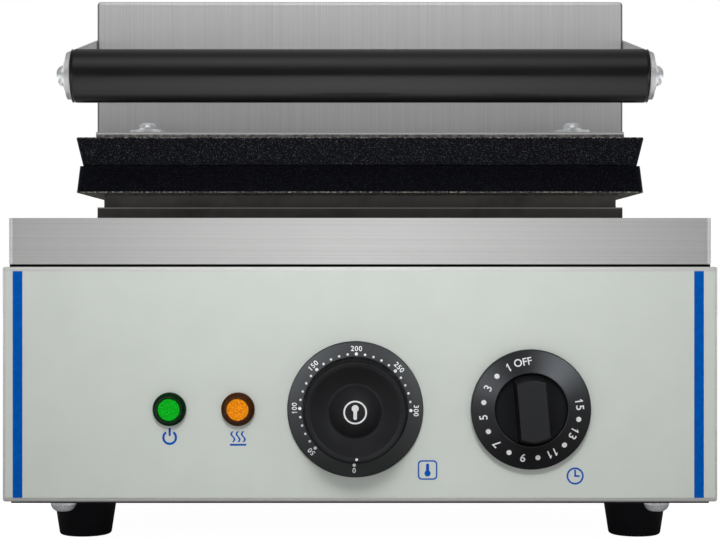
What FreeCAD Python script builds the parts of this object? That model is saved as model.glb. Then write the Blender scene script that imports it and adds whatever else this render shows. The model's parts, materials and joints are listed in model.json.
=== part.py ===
import FreeCAD, Part
import math
import os

# Waffle cone maker, in millimetres. X is to the right, Y to the rear and Z up.
# The origin is on the floor, under the middle of the case.

V = FreeCAD.Vector
X_AXIS = V(1, 0, 0)
Y_AXIS = V(0, 1, 0)
Z_AXIS = V(0, 0, 1)

# Case
case_width = 335.0
case_depth = 300.0
case_height = 110.0
case_sheet = 1.0
case_bend = 1.4
case_bottom_flange = 18.0
case_rear_flange = 12.0

# Bottom plate and feet
bottom_sheet = 1.0
bottom_inset = 3.5
foot_height = 19.8
foot_top_diameter = 31.0
foot_bottom_diameter = 25.0
foot_edge_round = 1.5
foot_side_inset = 32.8
foot_end_inset = 40.0
foot_recess_depth = 9.0
bottom_screw_side_inset = 27.0
bottom_screw_end_inset = 10.0

# Rear panel
rear_sheet = 1.0
rear_inset = 1.5
vent_length = 60.0
vent_width = 4.0
vent_pitch = 9.0
vent_count = 5
rear_vent_side_inset = 77.5
bottom_vent_x = 60.0

# Front overlay
film_thickness = 0.5
film_side_margin = 1.5
film_end_margin = 2.0
film_corner = 1.0

# Drip tray
tray_side_inset = 2.0
tray_height = 23.0
tray_sheet = 1.0
tray_front_inset = 4.0
tray_rear_inset = 6.0
tray_bend = 2.0
tray_corner = 3.0
wire_hole_diameter = 12.0

# Plate support and heater pan
support_side_inset = 5.85
support_end_inset = 32.0
support_height = 29.5
support_sheet = 1.2
support_flange = 12.0
pan_inset = 3.0
pan_height = 6.2
pan_sheet = 1.0

# Baking plates
plate_side_inset = 27.4
plate_setback = 42.0
lower_plate_height = 13.2
lower_plate_draft = 1.4
upper_plate_height = 13.8
upper_plate_draft = 3.0
plate_gap = 0.3
lower_plate_corner = 4.0
upper_plate_corner = 1.5
upper_plate_edge = 0.8
baking_margin = 9.1
baking_gap = 6.0
baking_depth = 1.0
groove_width = 1.6
groove_depth = 0.8
groove_pitch = 11.0

# Heaters
heater_diameter = 6.6
channel_clearance = 0.1
heater_loops = 2
heater_end_inset = 24.85
heater_row_inset = 7.6
tail_bend = 10.0
tail_length = 9.0
notch_margin = 1.2
retainer_thickness = 1.5
board_clearance = 0.4
plate_screw_inset = 4.4
blind_depth = 8.0

# Upper cover
gasket_thickness = 1.5
gasket_lip = 1.5
cover_side_inset = 5.6
cover_end_inset = 32.0
cover_height = 70.3
cover_sheet = 1.2
cover_bend = 2.0
flange_side_inset = 9.6
flange_end_inset = 3.0
cover_screw_side_inset = 24.5
cover_screw_front_inset = 10.0
washer_diameter = 18.0
washer_thickness = 1.5
retainer_margin = 1.9
upper_board_thickness = 15.0
upper_board_tail_gap = 3.0
upper_board_end_inset = 12.0

# Handle
grip_diameter = 25.0
grip_end_gap = 0.6
grip_end_round = 1.6
core_diameter = 10.0
core_clearance = 0.2
handle_reach = 75.0
handle_rise = 22.5
strap_thickness = 2.0
strap_width = 22.0
strap_slope = 11.1
strap_screw_inset = 18.0
strap_screw_spacing = 41.0
strap_end = 12.0
handle_washer_diameter = 14.0
handle_washer_thickness = 1.2
handle_screw_depth = 20.0

# Hinge
hinge_setback = 24.0
hinge_rear_space = 38.0
hinge_rise = 5.5
lid_opening = 100.0
pin_diameter = 10.0
pin_clearance = 0.06
ear_side_inset = 50.1
ear_thickness = 3.0
ear_radius = 9.0
ear_bar_height = 14.0
ear_pad_width = 34.0
ear_pad_depth = 22.0
ear_pad_gap = 4.0
ear_screw_spacing = 16.0
bracket_side_gap = 0.6
bracket_thickness = 4.0
bracket_radius = 10.0
bracket_foot = 24.0
stop_diameter = 6.0
stop_radius = 20.0
stop_gap = 0.3
stop_margin = 4.0
clip_diameter = 17.0
clip_thickness = 1.2
clip_groove_depth = 1.0
pin_end = 2.0

# Controls
control_height = 43.5
thermostat_x = -2.2
timer_x = 79.7
power_light_x = -89.0
heat_light_x = -57.0
shaft_diameter = 6.0
shaft_clearance = 0.05
shaft_depth = 14.0
bushing_diameter = 10.0
bushing_clearance = 0.2
control_body_width = 44.0
control_body_depth = 32.0
control_flange = 1.5
control_flange_height = 22.0
stud_diameter = 4.0
stud_length = 7.0
stud_body_gap = 5.0
stud_edge = 6.0
stud_clearance = 0.15
stud_nut_width = 7.0
stud_nut_thickness = 3.2

# Thermostat dial ring and knob
bezel_diameter = 63.6
bezel_thickness = 3.0
bezel_edge = 0.6
bezel_peg_diameter = 3.0
bezel_peg_spacing = 36.0
knob_gap = 0.5
thermostat_knob_diameter = 47.0
thermostat_knob_face = 18.5
thermostat_knob_edge = 0.9
thermostat_knob_rim = 1.6
thermostat_dish_depth = 1.6
thermostat_dish_sag = 0.24
thermostat_hub_diameter = 22.6
thermostat_hub_rise = 2.2
thermostat_hub_swell = 1.65
thermostat_hub_flat = 11.0
knob_bore_depth = 9.0

# Timer knob
timer_skirt_diameter = 56.0
timer_skirt_edge = 3.6
timer_skirt_face = 6.0
timer_skirt_round = 0.6
timer_well_diameter = 33.4
timer_well_depth = 3.0
timer_bar_width = 14.6
timer_bar_face = 15.5
timer_bar_side_draft = 0.6
timer_bar_end_draft = 2.4
timer_bar_turn = 5.0
timer_bar_round = 0.7

# Pilot lights
lens_diameter = 15.7
lens_height = 5.0
lens_edge = 1.4
light_barrel_diameter = 10.0
light_barrel_length = 24.0
light_flange_diameter = 13.0
light_flange_thickness = 1.2
light_clearance = 0.15
light_nut_width = 16.0
light_nut_thickness = 4.0

# Thermostat capillary
bulb_diameter = 6.0
bulb_length = 90.0
bulb_clearance = 0.15
capillary_diameter = 2.0
capillary_bend = 8.0
capillary_drop = 20.0

# Terminal block and mains cable gland
terminal_length = 60.0
terminal_depth = 22.0
terminal_height = 18.0
terminal_poles = 3
terminal_bore = 4.0
terminal_slot = 2.0
terminal_side_inset = 72.5
terminal_rear_gap = 45.0
gland_side_inset = 57.5
gland_height = 26.0
gland_thread_diameter = 15.6
gland_bore_diameter = 9.0
gland_hole_clearance = 0.2
gland_hex_width = 24.0
gland_hex_thickness = 5.0
gland_thread_inside = 11.0
gland_thread_outside = 8.0
gland_cap_diameter = 22.0
gland_cap_length = 12.0
gland_cap_gap = 0.3
gland_cap_edge = 2.5
gland_nut_width = 22.0
gland_nut_thickness = 4.0

# Screws: the small, medium and large pan heads
small_head_diameter = 7.0
small_head_height = 2.4
small_shank_diameter = 3.5
medium_head_diameter = 9.6
medium_head_height = 3.6
medium_shank_diameter = 5.0
large_head_diameter = 11.9
large_head_height = 4.4
screw_clearance = 0.15
screw_reach = 6.0
cross_width = 1.1
cross_depth = 1.2

# Shares of a screw head: its upright rim, its cross and the swell of its dome
head_rim_share = 0.3
head_cross_share = 0.5
head_swell_share = 0.72

# How close two lengths are that count as equal
same = 1e-4

# Heights worked out from the sizes above
case_bottom = foot_height + bottom_sheet
case_top = case_bottom + case_height
tray_floor = case_top + tray_sheet
support_top = tray_floor + support_height
pan_top = support_top + pan_height
lower_face = pan_top + lower_plate_height
upper_face = lower_face + plate_gap
upper_back = upper_face + upper_plate_height
flange_low = upper_back + gasket_thickness
flange_high = flange_low + cover_sheet
cover_top = flange_low + cover_height
control_z = case_bottom + control_height
gland_z = case_bottom + gland_height
hinge_z = lower_face + hinge_rise
handle_z = flange_high + handle_rise

# Places from front to rear
case_front = -case_depth / 2
case_rear = case_depth / 2
shell_rear = case_rear - rear_sheet
panel_face = case_front - film_thickness
panel_inside = case_front + case_sheet
hinge_y = case_rear - hinge_rear_space
plate_front = case_front + plate_setback
plate_rear = hinge_y - hinge_setback
plate_middle = (plate_front + plate_rear) / 2
support_front = plate_front + support_end_inset
support_rear = plate_rear - support_end_inset
pan_front = support_front + pan_inset
pan_rear = support_rear - pan_inset
cover_front = plate_front + cover_end_inset
cover_rear = plate_rear - cover_end_inset
flange_front = plate_front + flange_end_inset
flange_rear = plate_rear - flange_end_inset
handle_y = cover_front - handle_reach

# Widths, and places from the middle outwards
case_side = case_width / 2
rear_vent_x = rear_vent_side_inset - case_side
terminal_x = case_side - terminal_side_inset
gland_x = case_side - gland_side_inset
tray_width = case_width - 2 * tray_side_inset
plate_width = case_width - 2 * plate_side_inset
support_width = plate_width - 2 * support_side_inset
pan_width = support_width - 2 * pan_inset
cover_width = plate_width - 2 * cover_side_inset
flange_width = plate_width - 2 * flange_side_inset
cover_side = cover_width / 2
strap_outside = cover_side + strap_thickness
ear_outside = plate_width / 2 - ear_side_inset
ear_inside = ear_outside - ear_thickness
bracket_inside = ear_outside + bracket_side_gap
bracket_outside = bracket_inside + bracket_thickness
stud_spacing = control_body_width + 2 * stud_body_gap
control_flange_width = stud_spacing + 2 * stud_edge
baking_diameter = (plate_width - baking_gap) / 2 - baking_margin
baking_spacing = baking_diameter + baking_gap
channel_width = heater_diameter + 2 * channel_clearance
board_inset = pan_sheet + board_clearance
retainer_inset = cover_sheet + gasket_lip + retainer_margin
capillary_x = thermostat_x
strap_first_screw = handle_reach + strap_screw_inset
strap_second_screw = strap_first_screw + strap_screw_spacing
SIDES = {"left": -1, "right": 1}


def block(x, y, z):
    """A box from its low and high values along each axis."""
    return Part.makeBox(x[1] - x[0], y[1] - y[0], z[1] - z[0], V(x[0], y[0], z[0]))


def middle_block(width, y, z):
    """A box whose width is shared by both sides of the middle plane."""
    return block((-width / 2, width / 2), y, z)


def round_bar(diameter, start, end):
    """A cylinder between two points."""
    return Part.makeCylinder(diameter / 2, (end - start).Length, start, end - start)


def spun(outline, point, axis):
    """A solid of revolution: an outline of edges turned about an axis through a point."""
    return Part.Face(Part.Wire(outline)).revolve(point, axis, 360)


def line(start, end):
    return Part.LineSegment(start, end).toShape()


def arc(start, middle, end):
    return Part.Arc(start, middle, end).toShape()


def edges_where(shape, test):
    """The edges of a shape whose middle passes a test."""
    return [edge for edge in shape.Edges if test(edge.CenterOfMass)]


def near(first, second):
    return abs(first - second) < same


def fused(first, others):
    return first.fuse(others).removeSplitter()


def mirrored_points(x, y, z):
    """Four points at plus and minus x and at each of two y values."""
    return [V(side * x, each_y, z) for side in (-1, 1) for each_y in y]


class Screw:
    """A pan-head screw with a cross recess, seated with its head's flat at a point."""

    def __init__(self, head_diameter, head_height, shank_diameter):
        self.head_radius = head_diameter / 2
        self.head_height = head_height
        self.shank_diameter = shank_diameter

    def solid(self, seat, direction, length):
        rim = self.head_height * head_rim_share
        arm = self.head_radius * head_cross_share
        flat = arm + cross_width / 2
        shoulder = V(self.head_radius, 0, rim)
        dome = self.head_height - rim
        swell = V((self.head_radius + flat) / 2, 0, rim + dome * head_swell_share)
        crown = V(flat, 0, self.head_height)
        outline = [
            line(V(0, 0, 0), V(self.head_radius, 0, 0)),
            line(V(self.head_radius, 0, 0), shoulder),
            arc(shoulder, swell, crown),
            line(crown, V(0, 0, self.head_height)),
            line(V(0, 0, self.head_height), V(0, 0, 0)),
        ]
        head = spun(outline, V(0, 0, 0), Z_AXIS)
        recess_z = (self.head_height - cross_depth, self.head_height)
        across = block((-arm, arm), (-cross_width / 2, cross_width / 2), recess_z)
        along = block((-cross_width / 2, cross_width / 2), (-arm, arm), recess_z)
        shank = Part.makeCylinder(self.shank_diameter / 2, length, V(0, 0, -length))
        screw = head.cut([across, along]).fuse(shank)
        screw.Placement = FreeCAD.Placement(seat, FreeCAD.Rotation(Z_AXIS, direction * -1))
        return screw

    def hole(self, seat, direction, length):
        radius = self.shank_diameter / 2 + screw_clearance
        return Part.makeCylinder(radius, length, seat, direction)

    def solids(self, seats, direction, length):
        return Part.makeCompound([self.solid(seat, direction, length) for seat in seats])

    def holes(self, seats, direction, length):
        return [self.hole(seat, direction, length) for seat in seats]


small_screw = Screw(small_head_diameter, small_head_height, small_shank_diameter)
medium_screw = Screw(medium_head_diameter, medium_head_height, medium_shank_diameter)
large_screw = Screw(large_head_diameter, large_head_height, medium_shank_diameter)


def hex_nut(seat, direction, width, thickness, bore):
    """A nut whose flat is at the seat, and which grows along the direction."""
    corner = width / math.sqrt(3)
    angles = [math.radians(60 * step) for step in range(7)]
    outline = [V(corner * math.cos(angle), corner * math.sin(angle), 0) for angle in angles]
    nut = Part.Face(Part.makePolygon(outline)).extrude(V(0, 0, thickness))
    nut = nut.cut(Part.makeCylinder(bore / 2, thickness))
    nut.Placement = FreeCAD.Placement(seat, FreeCAD.Rotation(Z_AXIS, direction))
    return nut


class HeaterLayout:
    """Where a heater's runs and tails, and the screws beside it, lie in a field of a given size."""

    def __init__(self, width, depth):
        runs = 2 * heater_loops
        self.end = width / 2 - heater_end_inset
        self.pitch = (depth - 2 * heater_row_inset) / (runs - 1)
        first = plate_middle - depth / 2 + heater_row_inset
        self.rows = [first + self.pitch * run for run in range(runs)]
        self.tail_rows = (self.rows[0], self.rows[-1])
        self.tail_x = -self.end - tail_bend
        self.screw_x = width / 2 - plate_screw_inset
        self.screw_y = depth / 2 - plate_screw_inset

    def screw_points(self, z):
        """Where screws enter the back of the baking plate."""
        y = (plate_middle - self.screw_y, plate_middle + self.screw_y)
        return mirrored_points(self.screw_x, y, z)

    def tail_notches(self, z):
        """Room for the heater's two tails where they pass a sheet or board."""
        half = heater_diameter / 2 + notch_margin
        x = (self.tail_x - half, -self.end)
        return [block(x, (row - half, row + half), z) for row in self.tail_rows]

    def tail(self, row, z, way):
        """A tail's points, from where it leaves its run to its end above or below."""
        bow = math.sqrt(0.5)
        corner = V(-self.end, row, z)
        bent = corner + V(-bow, 0, way * (1 - bow)) * tail_bend
        turned = corner + V(-1, 0, way) * tail_bend
        return corner, bent, turned, turned + V(0, 0, way * tail_length)

    def solid(self, z, way):
        """The heater: runs joined by half-round bends, with two tails that leave the plate."""
        corner, bent, turned, start = self.tail(self.rows[0], z, way)
        edges = [line(start, turned), arc(turned, bent, corner)]
        side = 1
        for row, next_row in zip(self.rows, self.rows[1:]):
            stop = V(side * self.end, row, z)
            over = V(side * self.end, next_row, z)
            middle = (stop + over) * 0.5 + V(side * self.pitch / 2, 0, 0)
            edges += [line(V(-side * self.end, row, z), stop), arc(stop, middle, over)]
            side = -side
        corner, bent, turned, end = self.tail(self.rows[-1], z, way)
        edges.append(line(V(self.end, self.rows[-1], z), corner))
        edges += [arc(corner, bent, turned), line(turned, end)]
        section = Part.Wire(Part.Circle(start, Z_AXIS, heater_diameter / 2).toShape())
        return Part.Wire(edges).makePipeShell([section], True, False)

    def channel(self, z):
        """The groove in a plate's back that the heater lies in."""
        half = channel_width / 2
        depth = z[1] - z[0]
        cuts = []
        for row in self.rows:
            left = self.tail_x - half if row in self.tail_rows else -self.end
            cuts.append(block((left, self.end), (row - half, row + half), z))
        side = 1
        for row in self.rows[:-1]:
            centre = V(side * self.end, row + self.pitch / 2, z[0])
            ring = Part.makeCylinder(self.pitch / 2 + half, depth, centre)
            ring = ring.cut(Part.makeCylinder(self.pitch / 2 - half, depth, centre))
            outside = sorted((side * self.end, side * (self.end + self.pitch)))
            cuts.append(ring.common(block(outside, (row - self.pitch, row + 2 * self.pitch), z)))
            side = -side
        return cuts


lower_layout = HeaterLayout(pan_width - 2 * board_inset, pan_rear - pan_front - 2 * board_inset)
upper_layout = HeaterLayout(cover_width - 2 * retainer_inset, cover_rear - cover_front - 2 * retainer_inset)


# Where the screws sit

def bottom_screw_seats():
    x = case_side - bottom_screw_side_inset
    y = case_depth / 2 - bottom_screw_end_inset
    return mirrored_points(x, (-y, y), foot_height)


def foot_centres():
    x = case_side - foot_side_inset
    y = case_depth / 2 - foot_end_inset
    names = ("foot_front_left", "foot_rear_left", "foot_front_right", "foot_rear_right")
    return dict(zip(names, mirrored_points(x, (-y, y), 0)))


def foot_screw_seats():
    return [point + V(0, 0, foot_recess_depth) for point in foot_centres().values()]


def rear_screw_seats():
    inset = rear_inset + case_rear_flange / 2
    x = case_side - inset
    heights = (case_bottom + inset, case_top - inset)
    return [V(place, case_rear, height) for place in (-x, 0, x) for height in heights]


def support_screw_seats():
    inset = support_sheet + support_flange / 2
    x = support_width / 2 - inset
    return mirrored_points(x, (support_front + inset, support_rear - inset), tray_floor + support_sheet)


def floor_screw_points(z):
    """Where the screws of the support and the hinge brackets cross a level below them."""
    return [V(seat.x, seat.y, z) for seat in support_screw_seats() + bracket_screw_seats()]


def bracket_screw_seats():
    x = bracket_outside + bracket_foot / 2
    quarter = (bracket_rear() - bracket_front()) / 4
    y = (bracket_front() + quarter, bracket_rear() - quarter)
    return mirrored_points(x, y, tray_floor + bracket_thickness)


def cover_screw_seats():
    x = flange_width / 2 - cover_screw_side_inset
    y = flange_front + cover_screw_front_inset
    return [V(side * x, y, flange_high) for side in (-1, 1)]


def ear_screw_seats():
    y = cover_rear + ear_pad_gap + ear_pad_depth / 2
    middle = ear_inside - (ear_pad_width - ear_thickness) / 2
    places = (middle - ear_screw_spacing / 2, middle + ear_screw_spacing / 2)
    return [V(side * x, y, flange_high + ear_thickness) for side in (-1, 1) for x in places]


def strap_point(distance):
    """A point on the strap's middle line, measured from the handle's axis."""
    slope = math.radians(strap_slope)
    return V(0, handle_y + distance * math.cos(slope), handle_z + distance * math.sin(slope))


def strap_screw_seats(side):
    across = V(side * strap_outside, 0, 0)
    return [strap_point(distance) + across for distance in (strap_first_screw, strap_second_screw)]


def stud_points(y):
    """Where the case's welded studs stand, two for each control."""
    half = stud_spacing / 2
    return [V(x + side * half, y, control_z) for x in (thermostat_x, timer_x) for side in (-1, 1)]


def stop_point():
    """The middle of the stop stud that the open lid's ear comes to."""
    reach = (ear_radius + stop_diameter / 2 + stop_gap) / stop_radius
    angle = math.radians(90 - lid_opening) - math.asin(reach)
    return V(0, hinge_y + stop_radius * math.cos(angle), hinge_z + stop_radius * math.sin(angle))


def bracket_front():
    return hinge_y - bracket_radius


def bracket_rear():
    return stop_point().y + stop_diameter / 2 + stop_margin


# Case

def folded_box(x_half, y, z, bend):
    """A box with the front, top, bottom and side edges rounded and a sharp rear."""
    box = middle_block(2 * x_half, y, z)
    rounded = edges_where(box, lambda p: p.y < y[1] - same)
    return box.makeFillet(bend, rounded)


def wire_hole(z):
    """The hole that the wires and the capillary use between the case and the plates."""
    centre = V(capillary_x, plate_middle, z[0])
    return Part.makeCylinder(wire_hole_diameter / 2, z[1] - z[0], centre)


def panel_holes(y):
    """What passes through the case's front: control bushings, ring pegs and lights."""
    bushing = bushing_diameter + 2 * bushing_clearance
    peg = bezel_peg_diameter + 2 * bushing_clearance
    barrel = light_barrel_diameter + 2 * light_clearance
    places = [(thermostat_x, 0, bushing), (timer_x, 0, bushing)]
    places += [(thermostat_x, side * bezel_peg_spacing / 2, peg) for side in (-1, 1)]
    places += [(power_light_x, 0, barrel), (heat_light_x, 0, barrel)]
    return [
        round_bar(diameter, V(x, y[0], control_z + rise), V(x, y[1], control_z + rise))
        for x, rise, diameter in places
    ]


def base_shell():
    outer = folded_box(case_side, (case_front, shell_rear), (case_bottom, case_top), case_bend)
    inner_side = case_side - case_sheet
    inner_y = (panel_inside, shell_rear - case_sheet)
    inner_z = (case_bottom + case_sheet, case_top - case_sheet)
    inner = folded_box(inner_side, inner_y, inner_z, case_bend - case_sheet)
    opening = case_sheet + case_rear_flange
    rear_opening = middle_block(
        case_width - 2 * opening,
        (shell_rear - 2 * case_sheet, shell_rear),
        (case_bottom + opening, case_top - opening),
    )
    bottom_opening = middle_block(
        case_width - 2 * case_bottom_flange,
        (case_front + case_bottom_flange, shell_rear - case_bottom_flange),
        (case_bottom, case_bottom + 2 * case_sheet),
    )
    shell = outer.cut([inner, rear_opening, bottom_opening])
    studs = [
        round_bar(stud_diameter, point, point + V(0, stud_length, 0)) for point in stud_points(panel_inside)
    ]
    shell = fused(shell, studs)
    through = 2 * case_sheet
    tools = panel_holes((case_front, panel_inside))
    tools.append(wire_hole((case_top - through, case_top)))
    tools += medium_screw.holes(floor_screw_points(case_top), Z_AXIS * -1, through)
    tools += large_screw.holes(bottom_screw_seats(), Z_AXIS, bottom_sheet + through)
    tools += small_screw.holes(rear_screw_seats(), Y_AXIS * -1, rear_sheet + through)
    return shell.cut(tools)


def front_panel():
    half = case_side - film_side_margin
    z = (case_bottom + film_end_margin, case_top - film_end_margin)
    film = middle_block(2 * half, (panel_face, case_front), z)
    thick_middle = (panel_face + case_front) / 2
    corners = edges_where(film, lambda p: near(abs(p.x), half) and near(p.y, thick_middle))
    return film.makeFillet(film_corner, corners).cut(panel_holes((panel_face, case_front)))


def vent_rows(middle):
    return [middle + vent_pitch * (step - (vent_count - 1) / 2) for step in range(vent_count)]


def rear_panel():
    x = case_side - rear_inset
    z = (case_bottom + rear_inset, case_top - rear_inset)
    panel = middle_block(2 * x, (shell_rear, case_rear), z)
    rows = vent_rows((case_bottom + case_top) / 2)
    tools = [
        block(
            (rear_vent_x - vent_length / 2, rear_vent_x + vent_length / 2),
            (shell_rear, case_rear),
            (row - vent_width / 2, row + vent_width / 2),
        )
        for row in rows
    ]
    hole = gland_thread_diameter + 2 * gland_hole_clearance
    tools.append(round_bar(hole, V(gland_x, shell_rear, gland_z), V(gland_x, case_rear, gland_z)))
    tools += small_screw.holes(rear_screw_seats(), Y_AXIS * -1, rear_sheet)
    return panel.cut(tools)


def rear_panel_screws():
    return small_screw.solids(rear_screw_seats(), Y_AXIS * -1, rear_sheet + case_sheet + screw_reach)


def bottom_plate():
    x = case_side - bottom_inset
    y = case_depth / 2 - bottom_inset
    plate = middle_block(2 * x, (-y, y), (foot_height, case_bottom))
    tools = [
        block(
            (side * bottom_vent_x - vent_length / 2, side * bottom_vent_x + vent_length / 2),
            (row - vent_width / 2, row + vent_width / 2),
            (foot_height, case_bottom),
        )
        for row in vent_rows(0)
        for side in (-1, 1)
    ]
    tools += large_screw.holes(bottom_screw_seats(), Z_AXIS, bottom_sheet)
    tools += medium_screw.holes(foot_screw_seats(), Z_AXIS, case_bottom)
    return plate.cut(tools)


def bottom_screws():
    return large_screw.solids(bottom_screw_seats(), Z_AXIS, bottom_sheet + case_sheet + screw_reach)


def foot(centre):
    cone = Part.makeCone(foot_bottom_diameter / 2, foot_top_diameter / 2, foot_height, centre)
    cone = cone.makeFillet(foot_edge_round, edges_where(cone, lambda p: near(p.z, 0)))
    recess = Part.makeCylinder(medium_head_diameter / 2 + foot_edge_round, foot_recess_depth, centre)
    return cone.cut([recess, medium_screw.hole(centre, Z_AXIS, foot_height)])


def foot_screws():
    length = foot_height - foot_recess_depth + bottom_sheet + screw_reach
    return medium_screw.solids(foot_screw_seats(), Z_AXIS, length)


# Tray, support and heater pan

def drip_tray():
    top = case_top + tray_height
    front = case_front + tray_front_inset
    rear = case_rear - tray_rear_inset

    def pan(inset, low, high, corner, bend):
        body = middle_block(tray_width - 2 * inset, (front + inset, rear - inset), (low, high))
        upright = edges_where(body, lambda p: low + same < p.z < high - same)
        body = body.makeFillet(corner, upright)
        return body.makeFillet(bend, edges_where(body, lambda p: near(p.z, low)))

    outer = pan(0, case_top, top, tray_corner, tray_bend)
    inner = pan(tray_sheet, tray_floor, top + tray_sheet, tray_corner - tray_sheet, tray_bend - tray_sheet)
    tools = [inner, wire_hole((case_top, tray_floor))]
    tools += medium_screw.holes(floor_screw_points(tray_floor), Z_AXIS * -1, tray_sheet)
    return outer.cut(tools)


def plate_support():
    frame = middle_block(support_width, (support_front, support_rear), (tray_floor, support_top))
    inner = middle_block(
        support_width - 2 * support_sheet,
        (support_front + support_sheet, support_rear - support_sheet),
        (tray_floor + support_sheet, support_top - support_sheet),
    )
    opening = support_sheet + support_flange
    window = middle_block(
        support_width - 2 * opening,
        (support_front + opening, support_rear - opening),
        (tray_floor, support_top),
    )
    tools = [inner, window]
    tools += medium_screw.holes(support_screw_seats(), Z_AXIS * -1, support_sheet)
    tools += medium_screw.holes(lower_layout.screw_points(support_top), Z_AXIS * -1, support_sheet)
    tools += lower_layout.tail_notches((support_top - support_sheet, support_top))
    return frame.cut(tools)


def support_screws():
    length = support_sheet + tray_sheet + case_sheet + screw_reach
    return medium_screw.solids(support_screw_seats(), Z_AXIS * -1, length)


def capillary_notch(z):
    half = capillary_diameter / 2 + notch_margin
    x = (capillary_x - half, capillary_x + capillary_bend)
    return block(x, (plate_middle - half, plate_middle + half), z)


def pan_holes(z):
    """Room in a layer of the heater pan for the capillary, the heater's tails and the screws."""
    tools = [capillary_notch(z)] + lower_layout.tail_notches(z)
    return tools + medium_screw.holes(lower_layout.screw_points(z[0]), Z_AXIS, z[1] - z[0])


def lower_heater_pan():
    outer = middle_block(pan_width, (pan_front, pan_rear), (support_top, pan_top))
    floor = support_top + pan_sheet
    inner = middle_block(
        pan_width - 2 * pan_sheet, (pan_front + pan_sheet, pan_rear - pan_sheet), (floor, pan_top)
    )
    return outer.cut([inner] + pan_holes((support_top, floor)))


def pan_board(z):
    """A board that fills the heater pan."""
    y = (pan_front + board_inset, pan_rear - board_inset)
    return middle_block(pan_width - 2 * board_inset, y, z).cut(pan_holes(z))


def lower_insulation():
    return pan_board((support_top + pan_sheet, pan_top - retainer_thickness))


def lower_retainer():
    return pan_board((pan_top - retainer_thickness, pan_top))


def lower_plate_screws():
    seats = lower_layout.screw_points(support_top - support_sheet)
    return medium_screw.solids(seats, Z_AXIS, support_sheet + pan_height + blind_depth - screw_clearance)


# Baking plates

def tapered_plate(wide_z, narrow_z, draft, corner):
    """A block with sloping sides and rounded upright corners."""

    def outline(inset, z):
        x = plate_width / 2 - inset
        low = plate_front + inset
        high = plate_rear - inset
        corners = [(-x, low), (x, low), (x, high), (-x, high), (-x, low)]
        return Part.makePolygon([V(*corner, z) for corner in corners])

    plate = Part.makeLoft([outline(0, wide_z), outline(draft, narrow_z)], True, True)
    upright = edges_where(plate, lambda p: not near(p.z, wide_z) and not near(p.z, narrow_z))
    return plate.makeFillet(corner, upright)


def groove_grid(low, high):
    """The diamond grid of one baking field, about the Z axis, as one solid to cut with."""
    steps = int(baking_diameter / 2 / groove_pitch)
    disc = Part.makeCylinder(baking_diameter / 2, high - low, V(0, 0, low))
    bars = []
    for turn in (45, -45):
        for step in range(-steps, steps + 1):
            place = step * groove_pitch
            y = (place - groove_width / 2, place + groove_width / 2)
            bar = block((-baking_diameter, baking_diameter), y, (low, high))
            bar.rotate(V(0, 0, 0), Z_AXIS, turn)
            bars.append(bar)
    return bars[0].fuse(bars[1:]).common(disc)


def engraved(plate, face, into):
    """A plate with two round baking fields, each with a diamond grid of grooves."""
    floor = face + into * baking_depth
    low, high = sorted((floor, floor + into * groove_depth))
    grid = groove_grid(low, high)
    tools = []
    for side in (-1, 1):
        centre = V(side * baking_spacing / 2, plate_middle, 0)
        tools.append(round_bar(baking_diameter, centre + V(0, 0, face), centre + V(0, 0, floor)))
        tools.append(grid.translated(centre))
    return plate.cut(tools)


def lower_plate():
    plate = tapered_plate(pan_top, lower_face, lower_plate_draft, lower_plate_corner)
    plate = engraved(plate, lower_face, -1)
    bulb_half = bulb_diameter / 2 + bulb_clearance
    bulb_x = (capillary_x, capillary_x + capillary_bend + bulb_length + bulb_clearance)
    bulb_y = (plate_middle - bulb_half, plate_middle + bulb_half)
    tools = lower_layout.channel((pan_top, pan_top + channel_width))
    tools.append(block(bulb_x, bulb_y, (pan_top, pan_top + bulb_diameter + 2 * bulb_clearance)))
    tools += medium_screw.holes(lower_layout.screw_points(pan_top), Z_AXIS, blind_depth)
    return plate.cut(tools)


def upper_plate():
    plate = tapered_plate(upper_back, upper_face, upper_plate_draft, upper_plate_corner)
    plate = plate.makeFillet(upper_plate_edge, edges_where(plate, lambda p: near(p.z, upper_back)))
    plate = engraved(plate, upper_face, 1)
    tools = upper_layout.channel((upper_back - channel_width, upper_back))
    tools += medium_screw.holes(upper_layout.screw_points(upper_back), Z_AXIS * -1, blind_depth)
    tools += flange_screw_holes(upper_back, blind_depth)
    return plate.cut(tools)


def upper_retainer():
    z = (upper_back, upper_back + retainer_thickness)
    y = (cover_front + retainer_inset, cover_rear - retainer_inset)
    plate = middle_block(cover_width - 2 * retainer_inset, y, z)
    tools = upper_layout.tail_notches(z)
    tools += medium_screw.holes(upper_layout.screw_points(z[0]), Z_AXIS, retainer_thickness)
    return plate.cut(tools)


def upper_retainer_screws():
    seats = upper_layout.screw_points(upper_back + retainer_thickness)
    return medium_screw.solids(seats, Z_AXIS * -1, retainer_thickness + blind_depth - screw_clearance)


def upper_insulation():
    low = upper_back + retainer_thickness
    inset = retainer_inset + upper_board_end_inset
    width = 2 * (upper_layout.end + upper_board_tail_gap)
    z = (low, low + upper_board_thickness)
    return middle_block(width, (cover_front + inset, cover_rear - inset), z)


# Upper cover

def cover_foot(z):
    """The outline that the cover and its flanges stand on, as a slab."""
    walls = middle_block(cover_width, (cover_front, cover_rear), z)
    return fused(walls, [middle_block(flange_width, (flange_front, flange_rear), z)])


def flange_screw_holes(z, shank_length):
    seats = [V(p.x, p.y, z) for p in cover_screw_seats() + ear_screw_seats()]
    return medium_screw.holes(seats, Z_AXIS * -1, shank_length)


def cover_gasket():
    z = (upper_back, flange_low)
    opening = cover_sheet + gasket_lip
    window = middle_block(cover_width - 2 * opening, (cover_front + opening, cover_rear - opening), z)
    return cover_foot(z).cut([window] + flange_screw_holes(flange_low, gasket_thickness))


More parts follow.
